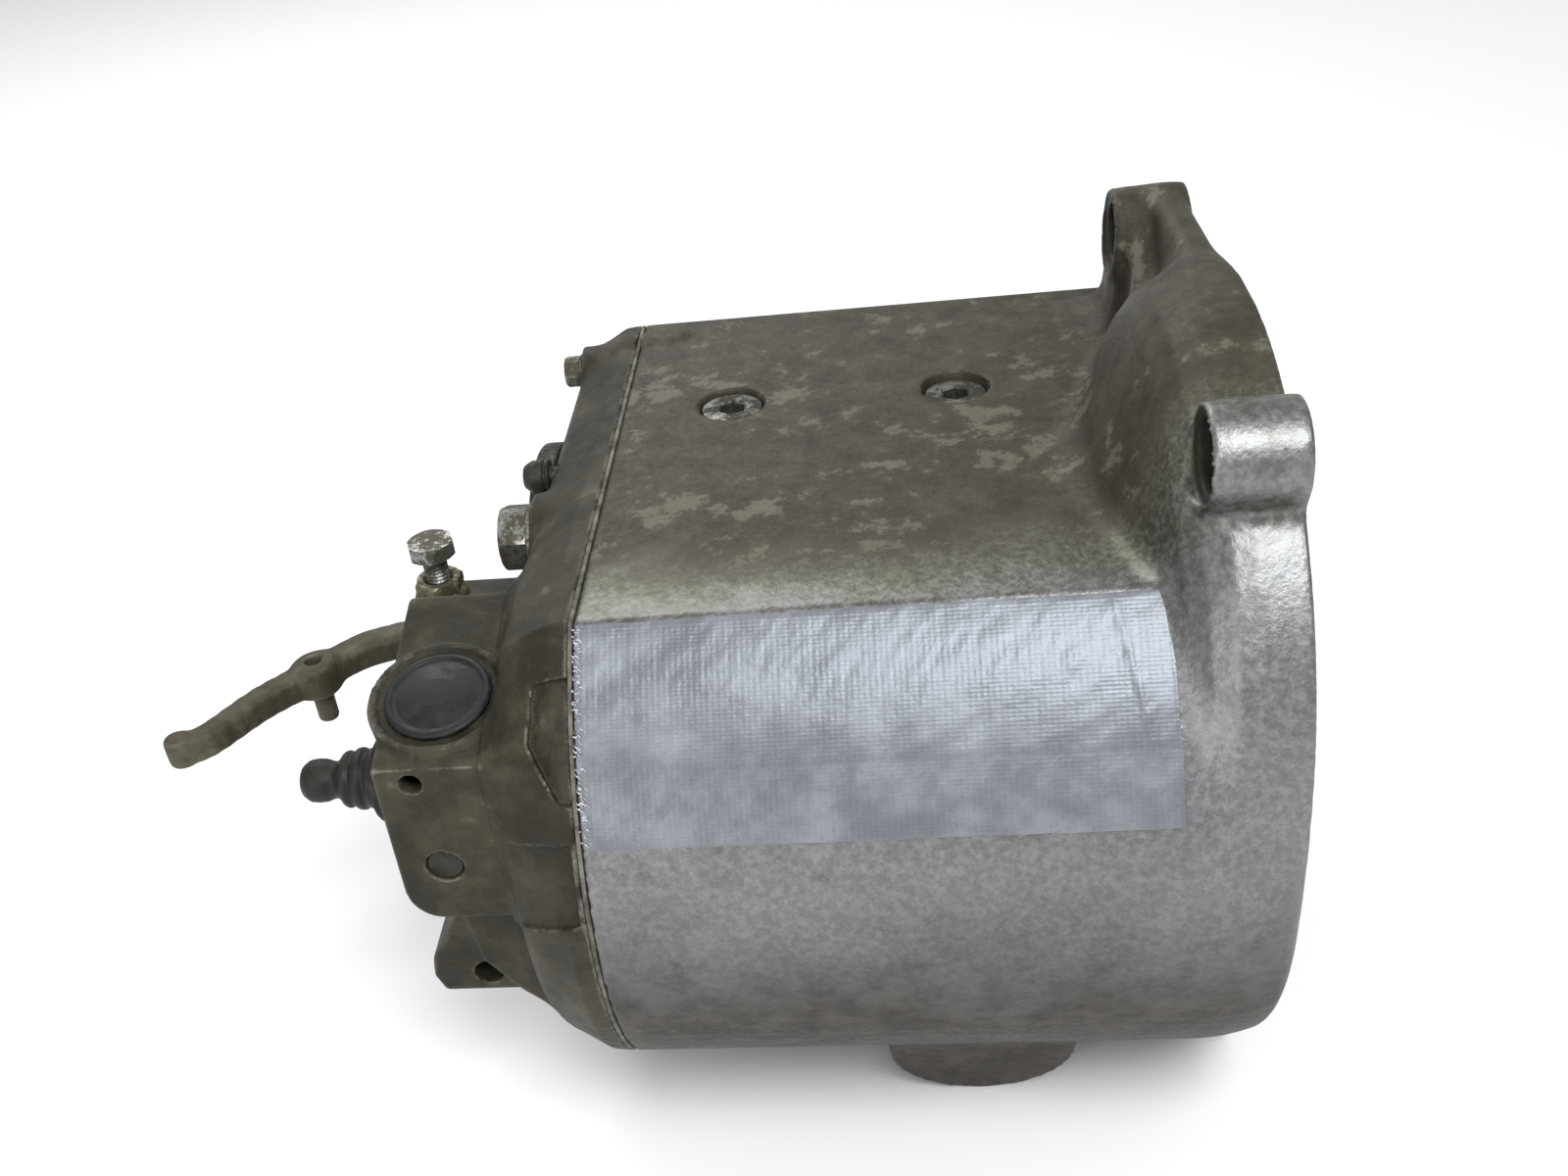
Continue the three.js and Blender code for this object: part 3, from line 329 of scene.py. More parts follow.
def field_mesh(field, name):
    points, faces = field.mesh()
    data = bpy.data.meshes.new(name)
    data.from_pydata(points * MM + np.array(ORIGIN), [], faces)
    data.validate()
    return data


AXIS_TURN = {
    "x": Matrix(((0, 0, 1), (1, 0, 0), (0, 1, 0))).to_4x4(),
    "y": Matrix(((0, 1, 0), (0, 0, 1), (1, 0, 0))).to_4x4(),
    "z": Matrix.Identity(4),
}


def turn_to(axis, a, b):
    """Matrix that takes a solid built along Z at the origin to an axis through a, b, in the frame."""
    k = "xyz".index(axis)
    centre = [a, b]
    centre.insert(k, 0.0)
    return Matrix.Translation(at(*centre)) @ AXIS_TURN[axis] @ Matrix.Scale(MM, 4)


def rounded(profile, radius, steps=3):
    """A lathe profile with its inner corners rounded."""
    out = [profile[0]]
    for before, here, after in zip(profile, profile[1:], profile[2:]):
        a, h, b = (Vector(p) for p in (before, here, after))
        reach = min(radius, (a - h).length * 0.45, (b - h).length * 0.45)
        if reach < 0.02:
            out.append(here)
            continue
        p, q = h + (a - h).normalized() * reach, h + (b - h).normalized() * reach
        for i in range(steps + 1):
            t = i / steps
            out.append(tuple(p * (1 - t) ** 2 + h * 2 * t * (1 - t) + q * t ** 2))
    out.append(profile[-1])
    return out


def above(base, *rows):
    """Profile rows whose heights are counted from a base."""
    return [(r, base + h) for r, h in rows]


def ring(bm, reach, h, sides, turn=0.0):
    """A ring of points at a height; reach is a radius or a function of the angle, and 0 gives one point."""
    if not callable(reach) and reach < 1e-6:
        return [bm.verts.new((0, 0, h))]
    points = []
    for i in range(sides):
        angle = 2 * math.pi * i / sides
        r = reach(angle) if callable(reach) else reach
        points.append(bm.verts.new((r * math.cos(angle + turn), r * math.sin(angle + turn), h)))
    return points


def bridge(bm, rings):
    """Faces between each ring and the next; a ring of one point closes an end."""
    for low, high in zip(rings, rings[1:]):
        count = max(len(low), len(high))
        if count == 1:
            continue
        for i in range(count):
            j = (i + 1) % count
            if len(low) == 1:
                bm.faces.new((low[0], high[j], high[i]))
            elif len(high) == 1:
                bm.faces.new((low[i], low[j], high[0]))
            else:
                bm.faces.new((low[i], low[j], high[j], high[i]))


def lathe(bm, profile, sides=64, round_=0.4):
    """Adds a closed turned solid along Z; the profile's rows are radius and height."""
    profile = rounded(profile, round_) if round_ else profile
    bridge(bm, [ring(bm, r, h, sides) for r, h in profile])


HEX_SIDES = 72


def hexagon(across):
    """The radius of a hexagon at an angle, for its width across flats."""
    def radius(angle):
        local = (angle + math.pi / 6) % (math.pi / 3) - math.pi / 6
        return across / 2 / math.cos(local)
    return radius


def hex_head(bm, across, low, high, chamfer=0.9, turn=0.0):
    """Adds a hexagon head along Z whose corners are cut back by a cone at both faces."""
    circle, corner, flat = across / 2 * 1.02, across / math.sqrt(3), hexagon(across)
    rings = []
    for h in (low, low + chamfer * 0.5, low + chamfer, (low + high) / 2,
              high - chamfer, high - chamfer * 0.5, high):
        limit = circle + (corner - circle) * min(min(h - low, high - h) / chamfer, 1) ** 0.6
        rings.append(ring(bm, lambda angle: min(flat(angle), limit), h, HEX_SIDES, turn))
    inner = [[bm.verts.new((v.co.x * 0.86, v.co.y * 0.86, v.co.z)) for v in edge]
             for edge in (rings[0], rings[-1])]
    crown = 0.15
    bridge(bm, [ring(bm, 0, low - crown, 1), inner[0], *rings, inner[1], ring(bm, 0, high + crown, 1)])


def finish_mesh(bm, name, matrix=IN_FRAME):
    bmesh.ops.recalc_face_normals(bm, faces=bm.faces)
    bm.transform(matrix)
    data = bpy.data.meshes.new(name)
    bm.to_mesh(data)
    bm.free()
    return data


def sharp(data, degrees=35):
    data.set_sharp_from_angle(angle=math.radians(degrees))
    return data


# ---- materials ------------------------------------------------------------------------------------
class Paint:
    """Short calls for a procedural material's nodes; coordinates are the frame's, in metres."""

    def __init__(self, name, slot):
        self.material = bpy.data.materials.new(name)
        self.material["slot"] = slot
        self.material.use_nodes = True
        self.tree = self.material.node_tree
        self.shader = self.tree.nodes["Principled BSDF"]
        self.place = self.node("ShaderNodeTexCoord").outputs["Object"]

    def node(self, kind, **settings):
        n = self.tree.nodes.new(kind)
        for key, value in settings.items():
            setattr(n, key, value)
        return n

    def link(self, source, socket):
        if hasattr(source, "is_output"):
            self.tree.links.new(source, socket)
        else:
            socket.default_value = source

    def stretched(self, x, y, z):
        n = self.node("ShaderNodeMapping")
        self.link(self.place, n.inputs["Vector"])
        n.inputs["Scale"].default_value = (x, y, z)
        return n.outputs["Vector"]

    def noise(self, size_mm, detail=6.0, rough=0.6, where=None, warp=0.0):
        n = self.node("ShaderNodeTexNoise")
        self.link(where or self.place, n.inputs["Vector"])
        n.inputs["Scale"].default_value = 1000.0 / size_mm
        n.inputs["Detail"].default_value = detail
        n.inputs["Roughness"].default_value = rough
        n.inputs["Distortion"].default_value = warp
        return n.outputs["Fac"]

    def axis(self, letter):
        n = self.node("ShaderNodeSeparateXYZ")
        self.link(self.place, n.inputs[0])
        return n.outputs["XYZ".index(letter)]

    def sum(self, a, b, operation="ADD"):
        n = self.node("ShaderNodeMath", operation=operation)
        self.link(a, n.inputs[0])
        self.link(b, n.inputs[1])
        return n.outputs[0]

    def times(self, a, b):
        return self.sum(a, b, "MULTIPLY")

    def swing(self, value, reach):
        """A noise centred on zero and scaled."""
        return self.times(self.sum(value, 0.5, "SUBTRACT"), reach)

    def step(self, value, low, high, to_low=0.0, to_high=1.0):
        n = self.node("ShaderNodeMapRange", interpolation_type="SMOOTHSTEP")
        self.link(value, n.inputs["Value"])
        for key, number in (("From Min", low), ("From Max", high), ("To Min", to_low), ("To Max", to_high)):
            n.inputs[key].default_value = number
        return n.outputs[0]

    def mix(self, share, a, b):
        n = self.node("ShaderNodeMix", data_type="RGBA")
        self.link(share, n.inputs[0])
        self.link(a if hasattr(a, "is_output") else (*a, 1), n.inputs[6])
        self.link(b if hasattr(b, "is_output") else (*b, 1), n.inputs[7])
        return n.outputs[2]

    def shaded_bores(self):
        """Share that is 1 on the spotfaces and in the counterbores of the casing's ears, where painted shade
        goes.
        """
        share = 0.0
        x = self.sum(self.axis("X"), float(ORIGIN.x), "SUBTRACT")
        y = self.sum(self.axis("Y"), float(ORIGIN.y), "SUBTRACT")
        z = self.sum(self.axis("Z"), float(ORIGIN.z), "SUBTRACT")
        for cy, cz, r in EARS:
            dy, dz = self.sum(y, cy * MM, "SUBTRACT"), self.sum(z, cz * MM, "SUBTRACT")
            reach = self.sum(self.sum(self.times(dy, dy), self.times(dz, dz)), 0.5, "POWER")
            near = self.step(reach, (r - 1.2) * MM, (r - 1.9) * MM)
            rearward = self.step(x, (EAR_X + 12) * MM, (EAR_X + 9) * MM)
            share = self.sum(share, self.times(near, rearward), "MAXIMUM")
        return share

    def edges(self, low=0.52, high=0.62):
        """Share that is 1 on convex edges, worn and also painted brighter as a highlight."""
        n = self.node("ShaderNodeNewGeometry")
        return self.step(n.outputs["Pointiness"], low, high)

    def bump(self, *layers):
        """Layers of (height, depth in mm), joined into the shader's normal."""
        normal = None
        for height, depth in layers:
            n = self.node("ShaderNodeBump")
            n.inputs["Distance"].default_value = depth * MM
            n.inputs["Strength"].default_value = 1.0
            self.link(height, n.inputs["Height"])
            if normal:
                self.link(normal, n.inputs["Normal"])
            normal = n.outputs["Normal"]
        self.link(normal, self.shader.inputs["Normal"])

    def done(self, colour, roughness, metallic):
        self.link(colour if hasattr(colour, "is_output") else (*colour, 1), self.shader.inputs["Base Color"])
        self.link(roughness, self.shader.inputs["Roughness"])
        self.link(metallic, self.shader.inputs["Metallic"])
        self.shader.inputs["Specular IOR Level"].default_value = 0.32
        return self.material


def casing_metal():
    """Bare cast aluminium, satin on the barrel, under brown grime on the top; darkened towards the bottom and
    in the ears' bores by painted shade.
    """
    p = Paint("casing_metal", "casing_alloy")
    height = p.sum(p.axis("Z"), float(ORIGIN.z), "SUBTRACT")
    across = p.sum(p.axis("Y"), float(ORIGIN.y), "SUBTRACT")
    patches = p.noise(38, 9, 0.62, warp=0.4)
    blots = p.noise(11, 8, 0.7)
    fine = p.noise(2.2, 6, 0.7)
    speck = p.noise(0.9, 5, 0.7)
    drift = p.sum(p.swing(patches, 0.05), p.swing(blots, 0.035))
    top = p.times(p.step(p.sum(across, drift), -0.050, -0.018), p.step(p.sum(height, drift), 0.010, 0.062))
    shade = p.step(p.sum(across, drift), -0.072, -0.035)
    # painted shade: the low share darkens the casing towards the bottom, in place of the dark floor it
    # reflects
    low = p.step(p.sum(height, drift), 0.034, -0.042)
    bare = p.mix(p.step(fine, 0.35, 0.7), (0.160, 0.160, 0.158), (0.248, 0.251, 0.254))
    bare = p.mix(p.step(blots, 0.52, 0.74), bare, (0.135, 0.129, 0.118))
    bare = p.mix(p.times(p.step(speck, 0.55, 0.7), 0.35), bare, (0.36, 0.367, 0.374))
    green = p.mix(p.step(fine, 0.4, 0.65), (0.075, 0.073, 0.054), (0.175, 0.175, 0.142))
    brown = p.mix(p.step(blots, 0.32, 0.72), (0.023, 0.0175, 0.0105), (0.056, 0.047, 0.031))
    worn = p.step(p.sum(patches, p.swing(blots, 1.2)), 0.585, 0.66)
    brown = p.mix(p.times(worn, 0.6), brown, (0.118, 0.111, 0.083))
    # painted shade: the dark brownish colour that the low share paints on the lower casing
    under = p.mix(p.step(blots, 0.35, 0.7), (0.028, 0.022, 0.017), (0.062, 0.053, 0.043))
    colour = p.mix(low, bare, under)
    colour = p.mix(p.times(shade, p.step(height, 0.070, 0.082)), colour, green)
    colour = p.mix(top, colour, brown)
    # edges lightened: wear, and partly a painted highlight
    colour = p.mix(p.times(p.edges(0.53, 0.60), 0.5), colour, (0.36, 0.355, 0.32))
    painted_bore_shade = p.shaded_bores()
    # painted shade: the ears' spotfaces and counterbores are painted near-black
    colour = p.mix(painted_bore_shade, colour, (0.018, 0.018, 0.012))
    # grime on the top, with the painted shade at the bottom and in the bores, made rougher and less metallic
    dirt = p.sum(p.sum(top, p.times(low, 0.75), "MAXIMUM"), painted_bore_shade, "MAXIMUM")
    roughness = p.sum(p.step(fine, 0.3, 0.75, 0.34, 0.48), p.times(dirt, 0.17))
    metallic = p.sum(0.86, p.times(dirt, 0.68), "SUBTRACT")
    p.bump((p.noise(1.3, 4, 0.6), 0.14), (p.noise(7, 5, 0.55), 0.3), (blots, 0.22))
    return p.done(colour, roughness, metallic)


def grimy_metal(name, slot, dark, light, bright, worn=0.5):
    """Cast aluminium under grime, worn to metal on its edges and in scuffs; the edges are also painted bright
    as a highlight.
    """
    p = Paint(name, slot)
    patches = p.noise(26, 9, 0.62, warp=0.3)
    blots = p.noise(7, 8, 0.7)
    colour = p.mix(p.step(p.sum(patches, p.swing(blots, 0.6)), 0.38, 0.68), dark, light)
    # worn edges, partly a painted highlight along the edges
    edge = p.times(p.edges(0.514, 0.575), p.step(blots, 0.40, 0.62))
    scuffs = p.times(p.step(p.sum(patches, blots), 1.16, 1.3), worn)
    wear_and_painted_highlight = p.sum(p.times(edge, 0.9), scuffs, "MAXIMUM")
    colour = p.mix(wear_and_painted_highlight, colour, bright)
    p.bump((p.noise(1.2, 4, 0.6), 0.15), (p.noise(5, 6, 0.6), 0.4), (blots, 0.3))
    return p.done(colour, p.step(blots, 0.3, 0.7, 0.5, 0.72), p.sum(0.25, p.times(wear_and_painted_highlight, 0.6)))


def plain_metal(name, slot, base, grime, share=0.5, rough=0.32, metallic=0.92, size=6.0, turned=False):
    """Machined or plated steel with grime and small marks, its edges lightened partly as a painted highlight.
    """
    p = Paint(name, slot)
    marks = p.noise(size, 8, 0.68)
    fine = p.noise(0.9, 5, 0.6)
    dirt = p.step(p.sum(marks, p.swing(fine, 0.4)), 0.62 - share * 0.3, 0.78 - share * 0.3)
    colour = p.mix(p.step(fine, 0.35, 0.7), base, tuple(min(c * 1.25, 1) for c in base))
    colour = p.mix(dirt, colour, grime)
    # edges lightened: wear, and partly a painted highlight
    colour = p.mix(p.times(p.edges(0.55, 0.66), 0.5), colour, tuple(min(c * 1.6, 1) for c in base))
    if turned:
        lines = p.noise(0.45, 3, 0.6, where=p.stretched(1.0, 0.04, 0.04))
    else:
        lines = fine
    p.bump((lines, 0.03), (marks, 0.08))
    roughness = p.sum(p.step(fine, 0.3, 0.7, rough - 0.06, rough + 0.1), p.times(dirt, 0.28))
    return p.done(colour, roughness, p.sum(metallic, p.times(dirt, metallic * 0.6), "SUBTRACT"))


def rubber(name, base, dust, size=5.0):
    p = Paint(name, "rubber")
    marks = p.noise(size, 8, 0.66)
    fine = p.noise(0.8, 5, 0.6)
    colour = p.mix(p.step(marks, 0.42, 0.75), base, dust)
    p.bump((fine, 0.05), (marks, 0.15))
    return p.done(colour, p.step(marks, 0.3, 0.7, 0.42, 0.66), 0.0)


def tape_silver():
    """Silver cloth tape: a woven grid pressed through a grey film, scuffed and a little blue."""
    p = Paint("tape_silver", "tape")
    height = p.sum(p.axis("Z"), float(ORIGIN.z), "SUBTRACT")
    depth = p.sum(p.axis("Y"), float(ORIGIN.y), "SUBTRACT")
    angle = p.sum(height, depth, "ARCTAN2")
    warp = p.node("ShaderNodeMath", operation="SINE")
    p.link(p.times(p.axis("X"), 2 * math.pi / (1.6 * MM)), warp.inputs[0])
    weft = p.node("ShaderNodeMath", operation="SINE")
    p.link(p.times(angle, 2 * math.pi * BARREL_R / 1.1), weft.inputs[0])
    weave = p.sum(p.times(warp.outputs[0], 0.5), p.times(weft.outputs[0], 0.5))
    blots = p.noise(16, 8, 0.6)
    fine = p.noise(1.6, 6, 0.65)
    colour = p.mix(p.step(blots, 0.35, 0.7), (0.142, 0.151, 0.165), (0.218, 0.231, 0.251))
    colour = p.mix(p.times(p.step(fine, 0.5, 0.75), 0.35), colour, (0.105, 0.109, 0.114))
    colour = p.mix(p.times(p.step(weave, 0.1, 1.0), 0.10), colour, (0.35, 0.365, 0.385))
    p.bump((weave, 0.022), (p.noise(9, 5, 0.6), 0.35), (fine, 0.04))
    return p.done(colour, p.step(blots, 0.3, 0.7, 0.34, 0.46), 0.4)


def gasket_paper():
    p = Paint("gasket_paper", "gasket_paper")
    blots = p.noise(6, 7, 0.7)
    p.bump((p.noise(0.8, 4, 0.6), 0.06))
    return p.done(p.mix(p.step(blots, 0.35, 0.65), (0.05, 0.045, 0.034), (0.16, 0.15, 0.122)), 0.85, 0.0)


CASING = casing_metal()
COVER = grimy_metal("cover_metal", "cover_alloy",
                    (0.018, 0.0148, 0.0085), (0.050, 0.043, 0.027), (0.27, 0.258, 0.21), 0.3)
LEVER = grimy_metal("lever_metal", "lever_alloy",
                    (0.045, 0.038, 0.023), (0.118, 0.104, 0.072), (0.33, 0.32, 0.275), 0.7)
BOLT = plain_metal("bolt_steel", "bolt_steel", (0.25, 0.25, 0.225), (0.06, 0.052, 0.036), 0.8)
SCREW = plain_metal("screw_steel", "screw_steel", (0.15, 0.145, 0.13), (0.030, 0.027, 0.019), 0.8, 0.38)
ZINC = plain_metal("zinc_steel", "zinc_steel", (0.25, 0.25, 0.24), (0.06, 0.053, 0.036), 0.85, 0.3)
DARK = plain_metal("dark_steel", "dark_steel", (0.035, 0.033, 0.026), (0.020, 0.018, 0.012), 0.5, 0.5, 0.55)
BEARING = plain_metal("bearing_steel", "bearing_steel", (0.42, 0.42, 0.42), (0.14, 0.13, 0.11), 0.3, 0.24,
                      turned=True)
GEAR = plain_metal("gear_steel", "gear_steel", (0.25, 0.25, 0.255), (0.10, 0.088, 0.062), 0.5, 0.28)
TURNED = plain_metal("machined_steel", "machined_steel", (0.32, 0.32, 0.31), (0.11, 0.098, 0.07), 0.45, 0.28,
                     turned=True)
RUBBER = rubber("rubber_black", (0.004, 0.0045, 0.0045), (0.016, 0.0165, 0.0155))
BOOT = rubber("rubber_oily", (0.006, 0.006, 0.004), (0.018, 0.017, 0.011), 3.5)
OLIVE = plain_metal("zinc_olive", "zinc_steel", (0.14, 0.135, 0.085), (0.05, 0.045, 0.024), 0.7, 0.42, 0.6)
OILY = plain_metal("steel_oily", "dark_steel", (0.024, 0.022, 0.015), (0.012, 0.011, 0.007), 0.5, 0.36, 0.5)
THREAD = rubber("tape_thread_white", (0.50, 0.51, 0.54), (0.74, 0.75, 0.78), 1.5)
THREAD["slot"] = "tape"
TAPE = tape_silver()
PAPER = gasket_paper()
SLOT_MATERIAL = {material["slot"]: material for material in (
    CASING, COVER, LEVER, PAPER, BOLT, SCREW, ZINC, DARK, RUBBER, TAPE, BEARING, GEAR, TURNED)}
for sub in frame["record"]["subparts"]:
    node = frame["nodes"][sub["node"]]
    node.data.materials.clear()
    node.data.materials.append(SLOT_MATERIAL[sub["material_slot"]])
# painted shade: the selector shaft's end gets the dark oily steel so that it reads as the dark hole it sits
# in
frame["nodes"]["selector_shaft"].data.materials[0] = OILY


# ---- casing ---------------------------------------------------------------------------------------
def side_boss(r, low, high, round_=1.0):
    """The pad on the lower near side, along its own tilted axis."""
    cx, cy, cz = SIDE_BOSS
    ny, nz = -math.cos(SIDE_BOSS_TILT), -math.sin(SIDE_BOSS_TILT)

    def shape(x, y, z):
        h = (y - cy) * ny + (z - cz) * nz
        side = (y - cy) * nz - (z - cz) * ny
        radial = np.sqrt((x - cx) ** 2 + side ** 2) - (r - round_)
        return outside(radial, slab(h, low + round_, high - round_)) - round_
    reach = r + abs(low) + 4
    return shape, ((cx - r, cx + r), (cy - reach, cy + reach), (cz - reach, cz + reach))


FLARE = [(128, 0), (131, 46), (139, 53), (146, 62), (152, 73), (157, 85), (161, 94), (166, 100), (172, 103.6),
         (178, BELL_R), (BODY_LENGTH - 0.3, BELL_R), (BODY_LENGTH, BELL_R - 0.5), (BODY_LENGTH, 0)]
END_X, END_DROP = 168.0, 4.5          # the barrel's front end closes in by this much


def barrel_growth(x):
    return DRAFT * x - END_DROP * np.clip((x - END_X) / (BODY_LENGTH - END_X), 0, 1) ** 2


LOWEST_Z = EARS[2][1] - EARS[2][2]
WEB_CURVE = 14.0      # radius of the web that carries the far upper ear


def casing_field():
    step = 1.1
    space = (0, -106, -118), (BODY_LENGTH, 146, 138), step
    f = Field(*space)
    f.join(prism("x", casing_outline(), -14, BODY_LENGTH, 5, grow=barrel_growth), 0.1)
    f.join(revolved(FLARE, INPUT), 6)
    rim_top, far_ear = INPUT[1] + BELL_R - 2, EARS[0]
    f.join(prism("x", [(far_ear[0] + far_ear[2], 60), (far_ear[0] + far_ear[2], far_ear[1]),
                       (far_ear[0], far_ear[1] + far_ear[2]), (60, rim_top), (INPUT[0], rim_top),
                       (INPUT[0], 60)], 178, BODY_LENGTH - 1, 5), 9)
    for y, z, r in EARS:
        inward = (INPUT[0] + (y - INPUT[0]) * 0.6, INPUT[1] + (z - INPUT[1]) * 0.6)
        f.join(bar("x", (y, z), inward, r - 1, r + 2, EAR_X + 4, BODY_LENGTH, 2), 7)
        f.join(cylinder("x", r, EAR_X, BODY_LENGTH, y, z, 1.2), 3)
    ear_y, ear_z, ear_r = far_ear
    web = arc(EAR_X - WEB_CURVE, TOP_Z + WEB_CURVE, WEB_CURVE, -math.pi / 2, 0, 6)
    f.join(prism("y", [*web, (EAR_X + 2, ear_z), (BODY_LENGTH - 6, ear_z), (BODY_LENGTH - 6, TOP_Z - 8),
                       (EAR_X - WEB_CURVE, TOP_Z - 8)], ear_y - ear_r, ear_y + ear_r, 2.5), 6)
    f.join(side_boss(SIDE_BOSS_R, -40, 0, 0.8), 4)
    f.join(cylinder("x", 7.5, -6, 16, 124, 77, 2), 3)
    x, z = f.axes[0], f.axes[2]
    f.value = np.maximum(f.value, x[:, None, None] - BODY_LENGTH)
    f.value = np.maximum(f.value, LOWEST_Z - z[None, None, :])
    f.value = np.maximum(f.value, z[None, None, :] - INPUT[1] - BELL_R)
    cavity = Field(*space)
    cavity.join(prism("x", casing_outline(WALL), -9, WEB_X, 1.5), 0.1)
    for y, z in COVER_BOLTS:
        cavity.cut(cylinder("x", 8, -9, 34, y, z), 2)
    cavity.cut(side_boss(SIDE_BOSS_R - 2, -36, 0), 2)
    cavity.cut(cylinder("z", 13, -112, -88, *DRAIN), 2)
    f.value = np.maximum(f.value, -cavity.value)
    f.cut(cylinder("x", BELL_BORE_R, WEB_X + WEB_THICK, BODY_LENGTH + 9, *INPUT, 1.5), 0.8)
    for (y, z), r in BEARING_SEATS:
        f.cut(cylinder("x", r, WEB_X - 9, WEB_X + 12.3, y, z), 0.6)
    f.cut(cylinder("x", 20.3, 150, WEB_X + WEB_THICK + 2, *INPUT), 0.6)
    f.cut(cylinder("x", ROD_R + 0.5, WEB_X - 9, WEB_X + 6, ROD_Y, ROD_Z), 0.4)
    for y, z, _ in EARS:
        f.cut(cylinder("x", 5.5, EAR_X - 20, BODY_LENGTH + 3, y, z), 0.6)
        f.cut(cylinder("x", 9.8, EAR_X - 20, EAR_X + 8, y, z), 0.8)
        f.cut(cylinder("x", 12.6, EAR_X - 20, EAR_X + 1, y, z), 0.5)
    for x in CAM_SCREWS:
        f.cut(cylinder("z", 11.2, TOP_Z - 0.7, TOP_Z + 9, x, CAM_Y), 0.3)
        f.cut(cylinder("z", 10.6, TOP_Z - 6.2, TOP_Z + 9, x, CAM_Y), 0.5)
        f.cut(cylinder("z", 4.6, TOP_Z - 14, TOP_Z + 9, x, CAM_Y), 0.4)
    f.cut(cylinder("z", 7.4, -112, -80, *DRAIN), 0.5)
    f.cut(cylinder("y", 9.4, 110, 150, *FILLER), 0.5)
    for y, z in COVER_BOLTS:
        f.cut(cylinder("x", 3.4, -9, 24, y, z), 0.4)
    f.value = np.maximum(f.value, -f.axes[0][:, None, None])
    return f


place("casing", field_mesh(casing_field(), "casing"), "root", CASING, ["housing"])


# ---- rear cover -----------------------------------------------------------------------------------
TILT = math.atan2(CREST_Z - NEAR_Z, CREST_Y - BULGE["y0"])
WINDOW_Z = NEAR_Z + math.tan(TILT) * (WINDOW[1] - BULGE["y0"])


def bulge(inset, round_):
    b = BULGE
    r = max(11 - inset, 1)
    x0, z0 = b["x0"] + inset, b["z0"] + inset
    side = [(x0, 70), *[(x, z) for x, z in arc(x0 + r, z0 + r, r, math.pi, 1.5 * math.pi, 8)], (b["x1"], z0),
            (b["x1"], 70)]
    front = [(b["y0"] + inset, z0), (b["y1"] - inset, z0), (b["y1"] - inset, BULGE_FAR_Z - inset),
             (CREST_Y, CREST_Z - inset), (b["y0"] + inset, NEAR_Z - inset)]

    def shape(x, y, z):
        return outside(polygon_distance(side, x, z) + round_, polygon_distance(front, y, z) + round_) - round_
    return shape, ((x0, b["x1"]), (b["y0"], b["y1"]), (z0, CREST_Z))


def window_disc(r, low, high, round_=0.3):
    """A disc square to the sloping top of the bulge, round the window."""
    cx, cy = WINDOW[:2]
    c, s = math.cos(TILT), math.sin(TILT)

    def shape(x, y, z):
        up = (z - WINDOW_Z) * c - (y - cy) * s
        across = (y - cy) * c + (z - WINDOW_Z) * s
        radial = np.sqrt((x - cx) ** 2 + across ** 2) - r + round_
        return outside(radial, slab(up, low + round_, high - round_)) - round_
    reach = r + abs(low) + abs(high)
    return shape, ((cx - r, cx + r), (cy - reach, cy + reach), (WINDOW_Z - reach, WINDOW_Z + reach))


DEEP = 140.0          # more than the depth of any point under the outline


